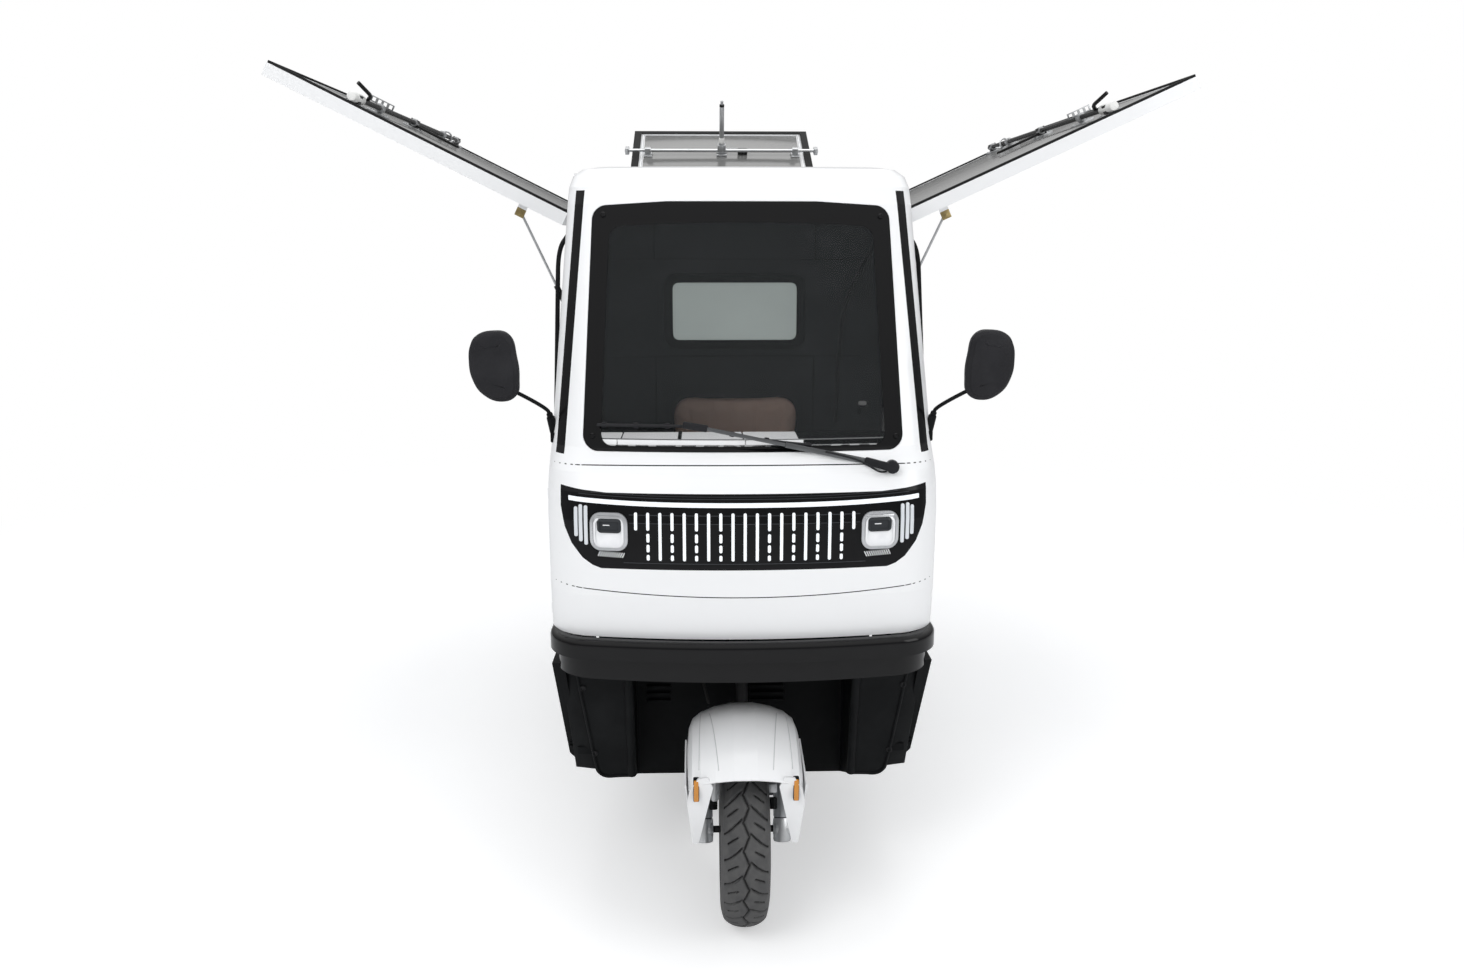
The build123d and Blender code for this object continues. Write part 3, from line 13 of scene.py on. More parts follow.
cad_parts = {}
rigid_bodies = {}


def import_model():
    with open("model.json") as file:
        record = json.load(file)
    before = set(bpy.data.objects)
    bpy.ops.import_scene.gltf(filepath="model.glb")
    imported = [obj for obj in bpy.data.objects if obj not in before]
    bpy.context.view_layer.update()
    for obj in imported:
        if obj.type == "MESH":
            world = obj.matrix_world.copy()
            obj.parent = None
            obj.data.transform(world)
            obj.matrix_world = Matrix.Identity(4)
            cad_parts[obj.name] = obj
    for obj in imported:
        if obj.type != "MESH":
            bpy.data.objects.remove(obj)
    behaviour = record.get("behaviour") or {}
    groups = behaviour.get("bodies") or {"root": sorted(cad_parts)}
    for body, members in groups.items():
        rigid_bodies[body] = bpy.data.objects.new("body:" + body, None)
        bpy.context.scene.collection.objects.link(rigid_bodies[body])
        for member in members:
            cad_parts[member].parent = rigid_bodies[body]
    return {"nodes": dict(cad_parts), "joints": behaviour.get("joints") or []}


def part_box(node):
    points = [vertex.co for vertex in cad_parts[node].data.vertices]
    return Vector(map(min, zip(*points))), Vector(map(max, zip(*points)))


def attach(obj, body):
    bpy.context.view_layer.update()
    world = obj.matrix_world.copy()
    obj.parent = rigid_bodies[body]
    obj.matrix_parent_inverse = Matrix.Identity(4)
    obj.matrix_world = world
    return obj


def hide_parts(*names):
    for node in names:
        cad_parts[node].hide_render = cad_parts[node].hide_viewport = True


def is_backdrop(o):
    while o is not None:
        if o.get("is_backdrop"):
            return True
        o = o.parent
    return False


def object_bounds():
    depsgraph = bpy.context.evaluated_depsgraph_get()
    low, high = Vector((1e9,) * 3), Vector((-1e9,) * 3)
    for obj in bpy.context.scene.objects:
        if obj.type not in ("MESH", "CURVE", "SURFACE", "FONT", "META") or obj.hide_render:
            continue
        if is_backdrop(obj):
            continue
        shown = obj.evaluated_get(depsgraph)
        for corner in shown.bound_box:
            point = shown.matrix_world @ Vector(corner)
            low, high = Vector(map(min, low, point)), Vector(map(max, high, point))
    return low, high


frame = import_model()
cad_low, cad_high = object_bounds()
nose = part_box("nose_panel")[0].y
print("nodes", len(frame["nodes"]), "box", [round(v, 3) for v in (*cad_low, *cad_high)])

# %% [markdown]
# The photo was taken from a little above eye height, close to the middle of the nose, with a wide
# lens. Distances behind the cab's foremost plane are easier to think in than the row's own Y, so a
# small helper turns one into the other. Everything below is in metres.

# %% Camera at the photo's view point
def at(depth):
    """Y of a plane this far behind the foremost plane of the nose."""
    return nose + depth


camera_data = bpy.data.cameras.new("photo_camera")
camera_data.sensor_width = 36.0
camera_data.lens = 27.46
camera = bpy.data.objects.new("photo_camera", camera_data)
bpy.context.collection.objects.link(camera)
camera.location = (-0.102, at(-2.644), 1.777)
camera.rotation_euler = (math.radians(90 - 12.35), 0, math.radians(-1.51))
bpy.context.scene.camera = camera
print("camera", [round(v, 3) for v in camera.location])

# %% [markdown]
# A white paint shows its form only by soft differences of light. So the world gives an even level,
# one large lamp stands above and ahead on the left, and a weaker one fills from the right. The
# camera sees plain white behind the object, also through glass. Glossy surfaces see a studio that is
# dim at the sides and bright overhead, which draws the highlights along the bumper's edge.

# %% Light, floor and backdrop
scene = bpy.context.scene
scene.view_settings.view_transform = "Standard"


def wire(tree, kind, settings=None, **inputs):
    """One node of a plain tree, with values or links on its named sockets."""
    made = tree.nodes.new(kind)
    for key, value in (settings or {}).items():
        setattr(made, key, value)
    for key, value in inputs.items():
        socket = made.inputs[key]
        if isinstance(value, bpy.types.NodeSocket):
            tree.links.new(value, socket)
        else:
            socket.default_value = value
    return made


world = bpy.data.worlds.new("studio")
scene.world = world
world.use_nodes = True
tree = world.node_tree
tree.nodes.clear()
ray = wire(tree, "ShaderNodeLightPath")
seen = wire(tree, "ShaderNodeMath", {"operation": "MAXIMUM"})
tree.links.new(ray.outputs["Is Camera Ray"], seen.inputs[0])
tree.links.new(ray.outputs["Is Transmission Ray"], seen.inputs[1])
way = wire(tree, "ShaderNodeTexCoord")
split = wire(tree, "ShaderNodeSeparateXYZ")
tree.links.new(way.outputs["Generated"], split.inputs[0])
level = wire(tree, "ShaderNodeMapRange", {"interpolation_type": "SMOOTHSTEP"})
tree.links.new(split.outputs["Z"], level.inputs["Value"])
for key, value in (("From Min", 0.10), ("From Max", 0.75), ("To Min", 0.30), ("To Max", 1.2)):
    level.inputs[key].default_value = value
ambient = wire(tree, "ShaderNodeBackground", Color=(0.96, 0.975, 1.0, 1), Strength=0.66)
studio = wire(tree, "ShaderNodeBackground", Color=(1, 1, 1, 1), Strength=level.outputs[0])
white = wire(tree, "ShaderNodeBackground", Color=(1, 1, 1, 1), Strength=1.0)
shine = wire(tree, "ShaderNodeMixShader")
tree.links.new(ray.outputs["Is Glossy Ray"], shine.inputs[0])
tree.links.new(ambient.outputs[0], shine.inputs[1])
tree.links.new(studio.outputs[0], shine.inputs[2])
both = wire(tree, "ShaderNodeMixShader")
tree.links.new(seen.outputs[0], both.inputs[0])
tree.links.new(shine.outputs[0], both.inputs[1])
tree.links.new(white.outputs[0], both.inputs[2])
out = wire(tree, "ShaderNodeOutputWorld", Surface=both.outputs[0])


def lamp(name, place, aim, size, watts, colour=(1, 1, 1)):
    """A square soft lamp that looks at a point."""
    data = bpy.data.lights.new(name, "AREA")
    data.shape = "SQUARE"
    data.size = size
    data.energy = watts
    data.color = colour
    made = bpy.data.objects.new(name, data)
    bpy.context.collection.objects.link(made)
    made.location = place
    made.rotation_euler = (Vector(aim) - Vector(place)).to_track_quat("-Z", "Y").to_euler()
    return made


lamp("key_lamp", (-2.6, at(-3.4), 4.4), (0, at(0.4), 1.0), 2.6, 95).visible_glossy = False
lamp("fill_lamp", (3.4, at(-2.0), 2.6), (0, at(0.6), 1.0), 2.2, 38)
lamp("top_lamp", (0.0, at(1.8), 5.4), (0, at(1.6), 1.0), 3.2, 70)
print("lamps", len(bpy.data.lights))

# %% [markdown]
# Procedural finishes are sums and products of patterns. Written as node links they are hard to read,
# so a small class wraps a socket and gives it Python's operators, and each formula becomes a line.

# %% A socket that takes part in arithmetic
class Wire:
    """A node's output with Python's operators on it."""

    def __init__(self, finish, socket):
        self.finish = finish
        self.socket = socket

    def math(self, operation, *values, clamp=False):
        settings = {"operation": operation, "use_clamp": clamp}
        return self.finish.node("ShaderNodeMath", settings, dict(enumerate(values)))

    def __add__(self, other):
        return self.math("ADD", self, other)

    def __radd__(self, other):
        return self.math("ADD", other, self)

    def __sub__(self, other):
        return self.math("SUBTRACT", self, other)

    def __rsub__(self, other):
        return self.math("SUBTRACT", other, self)

    def __mul__(self, other):
        return self.math("MULTIPLY", self, other)

    def __rmul__(self, other):
        return self.math("MULTIPLY", other, self)

    def __truediv__(self, other):
        return self.math("DIVIDE", self, other)

    def __mod__(self, other):
        return self.math("FLOORED_MODULO", self, other)

    def __abs__(self):
        return self.math("ABSOLUTE", self)

    def soft(self, low, high):
        """0 below low, 1 above high, straight between."""
        return self.math("ADD", (self - low) / (high - low), 0, clamp=True)


print("operators", sum(name.startswith("__") for name in vars(Wire)))

# %% [markdown]
# A finish is one material built on the Principled shader. Its helpers read a place in the object's own
# coordinates, mix two colours, and add bumps. Because every object sits at the origin, those
# coordinates are the real ones, and a grain drawn at 2 mm is 2 mm on every piece.

# %% A finish and its nodes
class Finish:
    """One material, made node by node."""

    def __init__(self, name, colour, roughness, **constants):
        self.material = bpy.data.materials.new(name)
        self.material.use_nodes = True
        self.tree = self.material.node_tree
        self.shader = self.tree.nodes["Principled BSDF"]
        self.give("Base Color", (*colour, 1))
        self.give("Roughness", roughness)
        for key, value in constants.items():
            self.give(key.replace("_", " ").title().replace("Ior", "IOR"), value)
        finishes[name] = self

    def give(self, key, value):
        socket = self.shader.inputs[key]
        if isinstance(value, Wire):
            self.tree.links.new(value.socket, socket)
        else:
            socket.default_value = value

    def node(self, kind, settings=None, values=None, output=0):
        made = self.tree.nodes.new(kind)
        for key, value in (settings or {}).items():
            if key == "stops":
                ramp = made.color_ramp
                for index, (spot, colour) in enumerate(value):
                    stop = ramp.elements[index] if index < 2 else ramp.elements.new(spot)
                    stop.position, stop.color = spot, (*colour, 1)
            else:
                setattr(made, key, value)
        for key, value in (values or {}).items():
            if isinstance(value, Wire):
                self.tree.links.new(value.socket, made.inputs[key])
            else:
                made.inputs[key].default_value = value
        return Wire(self, made.outputs[output])

    def place(self):
        """The point on the object, in metres."""
        return self.node("ShaderNodeTexCoord", output="Object")

    def axes(self):
        """The point's X, Y and Z as three numbers."""
        point = self.place()
        split = self.tree.nodes.new("ShaderNodeSeparateXYZ")
        self.tree.links.new(point.socket, split.inputs[0])
        return [Wire(self, split.outputs[i]) for i in range(3)]

    def noise(self, size, detail=3.0, rough=0.55, stretch=(1, 1, 1)):
        """Cloudy pattern, about 0 to 1, with blobs of this size in metres."""
        turned = self.node("ShaderNodeMapping", {"vector_type": "POINT"}, {0: self.place(), 3: stretch})
        values = {"Vector": turned, "Scale": 1 / size, "Detail": detail, "Roughness": rough}
        return self.node("ShaderNodeTexNoise", {}, values)

    def cells(self, size, output="Distance"):
        values = {"Vector": self.place(), "Scale": 1 / size}
        return self.node("ShaderNodeTexVoronoi", {}, values, output)

    def mix(self, factor, first, second):
        """A colour between two colours."""
        values = {0: factor}
        for key, value in ((6, first), (7, second)):
            values[key] = value if isinstance(value, Wire) else (*value, 1)
        return self.node("ShaderNodeMix", {"data_type": "RGBA"}, values, 2)

    def bump(self, height, depth, strength=1.0):
        """Bumps of a real depth in metres."""
        values = {"Height": height, "Distance": depth, "Strength": strength}
        self.give("Normal", self.node("ShaderNodeBump", {}, values))


finishes = {}
print("a finish has", len(vars(Finish)), "helpers")

# %% [markdown]
# Sprayed enamel over moulded panels: a clear coat, a faint orange peel that only shows in highlights,
# and a little road dust low down. The dust is the same pattern everywhere, faded by height.

# %% White paint
def enamel(name, colour, roughness, dust=0.10):
    made = Finish(name, colour, roughness, coat_weight=0.35, coat_roughness=0.08)
    x, y, z = made.axes()
    low = 1 - z.soft(0.25, 0.95)
    cloud = made.noise(0.16, 5.0).soft(0.42, 0.72)
    film = cloud * low * dust + made.noise(0.9, 2.0) * 0.02
    made.give("Base Color", made.mix(film, colour, (0.42, 0.40, 0.36)))
    made.give("Roughness", roughness + film * 0.8 + made.noise(0.05, 2.0) * 0.03)
    made.bump(made.noise(0.004, 2.0), 0.00008, 0.35)
    return made


white_paint = enamel("white_paint", (0.88, 0.885, 0.89), 0.26)
grey_panel = enamel("grey_panel", (0.150, 0.150, 0.146), 0.16, 0.05)
print("paints", [name for name in finishes])

# %% [markdown]
# Two blacks: a gloss one for the lamp panel, pillars and bumper, and a grained one for moulded trim.
# Grained plastic is not just rough. It has small pits, about half a millimetre, that are lighter at
# their rims where hands and brushes polish them.

# %% Black plastics
def gloss_black(name, colour, roughness):
    made = Finish(name, colour, roughness, specular_ior_level=0.14)
    haze = made.noise(0.08, 4.0)
    made.give("Roughness", roughness + haze * 0.08)
    made.give("Base Color", made.mix(haze * 0.25, colour, (0.03, 0.03, 0.032)))
    made.bump(made.noise(0.006, 2.0), 0.00006, 0.3)
    return made


def grained(name, colour, roughness, grain=0.0011, depth=0.00018):
    made = Finish(name, colour, roughness, specular_ior_level=0.07)
    pits = made.cells(grain)
    worn = made.noise(0.12, 5.0).soft(0.45, 0.75)
    paler = tuple(min(1.0, value * 1.6 + 0.006) for value in colour)
    made.give("Base Color", made.mix(worn * 0.5 + pits * 0.25, colour, paler))
    made.give("Roughness", roughness + worn * 0.10 - pits * 0.06)
    made.bump(pits, depth, 0.6)
    return made


black_gloss = gloss_black("black_gloss", (0.004, 0.004, 0.0045), 0.10)
bumper_gloss = Finish("bumper_gloss", (0.003, 0.003, 0.0035), 0.08, specular_ior_level=0.24)
dust = bumper_gloss.noise(0.05, 3.0)
bumper_gloss.give("Base Color", bumper_gloss.mix(dust, (0.003, 0.003, 0.0035), (0.006, 0.006, 0.0065)))
bumper_gloss.give("Roughness", 0.07 + dust * 0.06)
black_plastic = grained("black_plastic", (0.0055, 0.006, 0.0065), 0.50)
mirror_plastic = grained("mirror_plastic", (0.020, 0.020, 0.022), 0.40, 0.0014)
rubber = grained("rubber", (0.016, 0.016, 0.016), 0.62, 0.0018, 0.0001)
print("blacks", len(finishes))

# %% [markdown]
# Tyre rubber is grey-black with patches of dust. Its grooves and other hollows are coloured near black:
# that is painted shade.

# %% Tyre rubber
tyre_rubber = Finish("tyre_rubber", (0.045, 0.045, 0.046), 0.72)
grime = tyre_rubber.noise(0.03, 5.0).soft(0.35, 0.75)
# painted shade: faces with low pointiness, the tread's grooves and hollows, are coloured near black
groove_shade_mask = tyre_rubber.node("ShaderNodeNewGeometry", output="Pointiness").soft(0.455, 0.505)
land = tyre_rubber.mix(grime * 0.6, (0.055, 0.055, 0.056), (0.120, 0.118, 0.115))
tyre_rubber.give("Base Color", tyre_rubber.mix(groove_shade_mask, (0.008, 0.008, 0.008), land))
tyre_rubber.give("Roughness", 0.62 + grime * 0.2)
tyre_rubber.bump(tyre_rubber.noise(0.0025, 4.0), 0.0002, 0.5)

# %% [markdown]
# Bare metals: cast aluminium is pale with a fine sandy skin, zinc plate is streaked along the sheet,
# painted steel underneath is satin black with stone chips.

# %% Metals
def metal(name, colour, roughness, stretch=(1, 1, 1), size=0.004, depth=0.00006):
    made = Finish(name, colour, roughness, metallic=1.0)
    grain = made.noise(size, 4.0, 0.6, stretch)
    stain = made.noise(0.05, 4.0).soft(0.4, 0.8)
    darker = tuple(value * 0.62 for value in colour)
    made.give("Base Color", made.mix(stain * 0.45, colour, darker))
    made.give("Roughness", roughness + grain * 0.12 + stain * 0.12)
    made.bump(grain, depth, 0.5)
    return made


cast_aluminium = metal("cast_aluminium", (0.60, 0.61, 0.62), 0.34, size=0.0022, depth=0.00012)
zinc = metal("zinc", (0.56, 0.57, 0.58), 0.26, (1, 0.12, 1))
yellow_zinc = metal("yellow_zinc", (0.36, 0.28, 0.13), 0.34)
frame_aluminium = metal("frame_aluminium", (0.66, 0.67, 0.68), 0.30, (1, 0.06, 1))
chassis_steel = grained("chassis_steel", (0.020, 0.020, 0.021), 0.44, 0.004, 0.0001)
strut_black = gloss_black("strut_black", (0.012, 0.012, 0.012), 0.22)

# %% [markdown]
# The cargo floor is chequer plate: short raised bars, turned by a quarter from one cell to the next.

# %% Chequer plate
chequer = Finish("chequer_plate", (0.52, 0.53, 0.54), 0.34, metallic=1.0)
x, y, z = chequer.axes()
step = 0.030
column, row = (x / step), (y / step)
odd = (column.math("FLOOR", column) + row.math("FLOOR", row)) % 2.0
u, v = column % 1.0 - 0.5, row % 1.0 - 0.5
along = (u + v) * odd + (u - v) * (1 - odd)
across = (u - v) * odd + (u + v) * (1 - odd)
bar = (1 - (abs(along) * 1.1 + abs(across) * 3.4)).soft(0.30, 0.52)
scuff = chequer.noise(0.06, 5.0).soft(0.4, 0.75)
chequer.give("Base Color", chequer.mix(scuff * 0.5, (0.55, 0.56, 0.57), (0.30, 0.30, 0.30)))
chequer.give("Roughness", 0.42 - bar * 0.14 + scuff * 0.15)
chequer.bump(bar, 0.0012, 1.0)

# %% [markdown]
# Glass is thin here, so it is mostly see-through with a sheen. Lamp covers are clear and a little
# milky, the red ones have ribs moulded in.

# %% Glass and lenses
def pane(name, colour, alpha, roughness=0.03, sheen=0.5):
    made = Finish(name, colour, roughness, specular_ior_level=sheen)
    smear = made.noise(0.22, 4.0).soft(0.5, 0.8)
    made.give("Alpha", alpha + smear * 0.03)
    made.give("Roughness", roughness + smear * 0.04)
    return made


clear_glass = pane("clear_glass", (0.02, 0.022, 0.022), 0.20)
# The two door glasses are one glass in two copies: the left one dark and nearly opaque, painted shade; the
# right one paler grey, painted light.
side_glass = pane("side_glass", (0.012, 0.013, 0.013), 0.80, sheen=0.3)
right_glass = pane("right_glass", (0.10, 0.105, 0.107), 0.62, sheen=0.3)
# painted light: the rear window glows pale green-grey, standing in for daylight from the open box behind
# it; it is no lamp
rear_window_painted_light = pane("rear_window_painted_light", (0.62, 0.68, 0.66), 0.93, 0.25)
rear_window_painted_light.give(
    "Emission Color", rear_window_painted_light.mix(rear_window_painted_light.noise(0.2, 2.0), (0.50, 0.56, 0.54), (0.60, 0.66, 0.64))
)
rear_window_painted_light.give("Emission Strength", 0.55)


# %% [markdown]
# A bonded windscreen has a black ceramic border fired on its inner side, which hides the glue. It is
# a print, not a part, so the finish draws it: the distance in from the outline, measured on each side,
# with a radius at the clear area's corners and a row of dots that thins the edge out.

# %% Windscreen with its printed border
screen_print = pane("screen_print", (0.004, 0.004, 0.0045), 0.2, sheen=0.16)
x, y, z = screen_print.axes()
from_side = 0.404 - (z - 1.273) * 0.0325 - abs(x)
from_top = 1.888 - x * x * 0.09 - z
from_bottom = z - 1.273
round_r = 0.030
into_x = (0.045 + round_r - from_side).math("MAXIMUM", 0.045 + round_r - from_side, 0.0)
over = (0.055 + round_r - from_top)
under = (0.012 + round_r - from_bottom)
into_z = over.math("MAXIMUM", over.math("MAXIMUM", over, under), 0.0)
inside = round_r - (into_x * into_x + into_z * into_z).math("SQRT", into_x * into_x + into_z * into_z)
clear = inside.soft(0.0, 0.0008)
haze = screen_print.noise(0.25, 4.0).soft(0.4, 0.9)
screen_print.give("Alpha", 1 - clear * (0.74 - haze * 0.05))
screen_print.give("Base Color", screen_print.mix(clear, (0.004, 0.004, 0.0045), (0.030, 0.033, 0.034)))


def lens(name, colour, rib, glow=0.0):
    made = Finish(name, colour, 0.12, coat_weight=0.5, emission_strength=glow)
    x, y, z = made.axes()
    wave = ((x / rib) % 1.0 - 0.5)
    made.give("Base Color", made.mix(made.noise(0.03, 2.0) * 0.3, colour, tuple(v * 0.7 for v in colour)))
    if glow:
        made.give("Emission Color", made.mix(abs(wave), colour, tuple(v * 0.9 for v in colour)))
    made.bump(abs(wave), 0.0006, 0.6)
    return made


led_white = lens("led_white", (0.90, 0.93, 0.96), 0.004, 0.25)
lamp_clear = lens("lamp_clear", (0.74, 0.77, 0.80), 0.005)
lamp_red = lens("lamp_red", (0.52, 0.02, 0.02), 0.006)
amber = lens("amber", (0.62, 0.24, 0.02), 0.004)

# %% [markdown]
# Inside: a grey quilted lining, and tan artificial leather on the seat with fine creases.

# %% Lining and seat cover
lining = grained("lining", (0.040, 0.042, 0.045), 0.70, 0.0030, 0.00003)
seat_leather = Finish("seat_leather", (0.24, 0.155, 0.105), 0.48)
crease = seat_leather.cells(0.0042)
tone = seat_leather.noise(0.05, 4.0)
seat_leather.give("Base Color", seat_leather.mix(tone, (0.62, 0.43, 0.35), (0.76, 0.56, 0.47)))
seat_leather.give("Roughness", 0.42 + tone * 0.14)
seat_leather.bump(crease, 0.0004, 0.5)
print("finishes", len(finishes))

# %% [markdown]
# Each CAD node keeps its shape and takes a finish in its material slot.

# %% Dress the CAD nodes
dress = {
    white_paint: "cab_shell nose_panel box_frame box_roof box_sides rear_surround box_front_wall "
    "front_mudguard "
    "cab_door_left cab_door_right",
    grey_panel: "wing_left_panel wing_right_panel rear_door_panel",
    black_gloss: "lamp_panel pillar_strips",
    bumper_gloss: "bumper",
    black_plastic: "apron side_sills cab_floor dashboard wiper rear_mudguards handlebar seat_base",
    mirror_plastic: "mirrors",
    lining: "cab_rear_wall",
    screen_print: "windscreen",
    side_glass: "door_glass_left",
    right_glass: "door_glass_right",
    rear_window_painted_light: "rear_window",
    led_white: "light_strips headlamps",
    lamp_red: "tail_lamps",
    seat_leather: "seat_cushion seat_backrest",
    chassis_steel: "chassis_frame head_tube rear_axle leaf_springs rear_bumper battery_case",
    chequer: "box_floor",
    cast_aluminium: "fork front_rim rear_left_rim rear_right_rim",
    zinc: "wing_left_lock wing_right_lock rear_door_lock wing_left_strut_rods wing_right_strut_rods "
    "rear_door_strut_rods",
    strut_black: "wing_left_strut_tubes wing_right_strut_tubes rear_door_strut_tubes",
    tyre_rubber: "front_tyre rear_left_tyre rear_right_tyre",
}
for finish, names in dress.items():
    for name in names.split():
        node = bpy.data.objects[name]
        node.data.materials.clear()
        node.data.materials.append(finish.material)
print("dressed", sum(len(names.split()) for names in dress.values()), "nodes")

# %% [markdown]
# The floor is a plain pale sheet. For the camera it glows a little, so that it meets the white
# backdrop with no horizon and still keeps the soft shadow under the wheels.

# %% Floor
def calm():
    """Object mode, with nothing selected."""
    if bpy.context.object and bpy.context.object.mode != "OBJECT":
        bpy.ops.object.mode_set(mode="OBJECT")
    bpy.ops.object.select_all(action="DESELECT")


calm()
bpy.ops.mesh.primitive_plane_add(size=60, location=(0, 0, -0.0005))
floor = bpy.context.object
floor.name = "studio_floor"
floor_finish = Finish("pale_floor", (0.90, 0.90, 0.90), 0.9)
x, y, z = floor_finish.axes()
far_off = (x * x + y * y).soft(6.0, 30.0)
camera_ray = floor_finish.node("ShaderNodeLightPath", output="Is Camera Ray")
glow = floor_finish.node("ShaderNodeEmission", {}, {"Color": (1, 1, 1, 1), "Strength": 0.34})
white_out = floor_finish.node("ShaderNodeEmission", {}, {"Color": (1, 1, 1, 1), "Strength": 1.0})
lit = floor_finish.node(
    "ShaderNodeAddShader", {}, {0: Wire(floor_finish, floor_finish.shader.outputs[0]), 1: glow}
)
fading = floor_finish.node("ShaderNodeMixShader", {}, {0: far_off, 1: lit, 2: white_out})
own = Wire(floor_finish, floor_finish.shader.outputs[0])
total = floor_finish.node("ShaderNodeMixShader", {}, {0: camera_ray, 1: own, 2: fading})
sink = floor_finish.tree.nodes["Material Output"]
floor_finish.tree.links.new(total.socket, sink.inputs["Surface"])
floor.data.materials.append(floor_finish.material)
floor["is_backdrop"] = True

# %% [markdown]
# New pieces are made the way a modeller does by hand: a primitive at its size and place, then edits
# and modifiers that are applied. A few helpers keep each of those steps to one line.

# %% Modelling helpers
slots = {
    white_paint: "white_paint", grey_panel: "grey_panel", black_gloss: "black_gloss",
    rubber: "black_plastic",
    black_plastic: "black_plastic", mirror_plastic: "black_plastic", lining: "grey_lining",
    clear_glass: "clear_glass", screen_print: "clear_glass", side_glass: "clear_glass",
    right_glass: "clear_glass", rear_window_painted_light: "clear_glass", led_white: "lamp_white",
    bumper_gloss: "black_gloss", lamp_clear: "lamp_white", amber: "lamp_white", lamp_red: "lamp_red",
    seat_leather: "seat_vinyl",
    chassis_steel: "black_steel", chequer: "chequer_floor", cast_aluminium: "silver_cast", zinc: "zinc",
    yellow_zinc: "zinc", frame_aluminium: "silver_cast", strut_black: "strut_black",
    tyre_rubber: "tyre_rubber",
}


def pick(*pieces):
    """Only these are selected, and the first is active."""
    calm()
    for piece in pieces:
        piece.select_set(True)
    bpy.context.view_layer.objects.active = pieces[0]


def take(name, turned=None):
    """The new primitive gets its name, and its place goes into its mesh."""
    made = bpy.context.object
    made.name = made.data.name = name
    if turned is not None:
        bpy.context.view_layer.update()
        made.matrix_world = turned @ made.matrix_world
    pick(made)
    bpy.ops.object.transform_apply(location=True, rotation=True, scale=True)
    return made


def use(piece, kind, **settings):
    """One modifier, applied at once."""
    pick(piece)
    step = piece.modifiers.new(kind.lower(), kind)
    for key, value in settings.items():
        setattr(step, key, value)
    bpy.ops.object.modifier_apply(modifier=step.name)


def slab(name, low, high, edge=0.0, turned=None, segments=2):
    """A box between two corners with rounded edges."""
    calm()
    middle = [(a + b) / 2 for a, b in zip(low, high)]
    bpy.ops.mesh.primitive_cube_add(size=1, location=middle)
    bpy.context.object.scale = [b - a for a, b in zip(low, high)]
    made = take(name, turned)
    if edge:
        use(made, "BEVEL", width=edge, segments=segments, limit_method="ANGLE")
    return made


def bar(name, start, end, radius, sides=20, edge=0.0, turned=None):
    """A round bar from one point to another, with rounded ends."""
    calm()
    line = Vector(end) - Vector(start)
    turn = line.to_track_quat("Z", "Y").to_euler()
    middle = (Vector(start) + Vector(end)) / 2
    bpy.ops.mesh.primitive_cylinder_add(
        vertices=sides, radius=radius, depth=line.length, location=middle, rotation=turn
    )
    made = take(name, turned)
    if edge:
        use(made, "BEVEL", width=edge, segments=2, limit_method="ANGLE", angle_limit=1.0)
    return made


def tube(name, points, radius, turned=None, sides=3):
    """A bent tube along a smooth line through points."""
    data = bpy.data.curves.new(name, "CURVE")
    data.dimensions = "3D"
    data.bevel_depth = radius
    data.bevel_resolution = sides
    data.use_fill_caps = True
    line = data.splines.new("NURBS")
    line.points.add(len(points) - 1)
    for spot, point in zip(line.points, points):
        spot.co = (*point, 1)
    line.order_u = 3
    line.use_endpoint_u = True
    made = bpy.data.objects.new(name, data)
    bpy.context.collection.objects.link(made)
    pick(made)
    bpy.ops.object.convert(target="MESH")
    return take(name, turned)


def joined(name, *pieces):
    """Several meshes made one."""
    pick(*pieces)
    bpy.ops.object.join()
    made = bpy.context.object
    made.name = made.data.name = name
    return made


def done(piece, finish, body="chassis", angle=35, slot=None):
    """Smooth where it is round, finished, and riding with its body."""
    pick(piece)
    bpy.ops.object.shade_smooth_by_angle(angle=math.radians(angle))
    piece.data.materials.clear()
    piece.data.materials.append(finish.material)
    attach(piece, body)
    slot or slots[finish]
    return piece


print("helpers ready")

# %% [markdown]
# The wings and the rear door tilt, and their parts are easier to place along the panel than in the
# world. A matrix does that: its first axis runs along the hinge, its second out along the panel, and
# its third is the outer face's normal. The hinges' places come from the joints of the packed model.

# %% Planes of the wings and the rear door
joints = {joint["name"]: joint for joint in frame["joints"]}


def leaf_plane(joint, out):
    hinge = Vector(joints[joint]["pos_m"])
    out = Vector(out)
    angle = math.radians(joints[joint]["range_deg"][1] - 90)
    run = out * math.cos(angle) + Vector((0, 0, math.sin(angle)))
    face = out * -math.sin(angle) + Vector((0, 0, math.cos(angle)))
    line = run.cross(face)
    turned = Matrix((line, run, face)).transposed().to_4x4()
    turned.translation = hinge
    return turned


leaves = {
    "wing_left": (leaf_plane("wing_left_hinge", (-1, 0, 0)), 0.7675, 0.990),
    "wing_right": (leaf_plane("wing_right_hinge", (1, 0, 0)), 0.7675, 0.990),
    "rear_door": (leaf_plane("rear_door_hinge", (0, 1, 0)), 0.451, 1.097),
}
print({name: [round(v, 3) for v in leaf[0].translation] for name, leaf in leaves.items()})

# %% [markdown]
# On the real panels a thin glossy skin lies on an aluminium frame, and a black rubber seal runs along
# its edges, where it meets the box. The skin is a sheet with rounded corners, a millimetre proud of
# the CAD panel. The door shows its frame too, as two bright lines.

# %% Skins, seals and frame lines
OUTER = -0.009


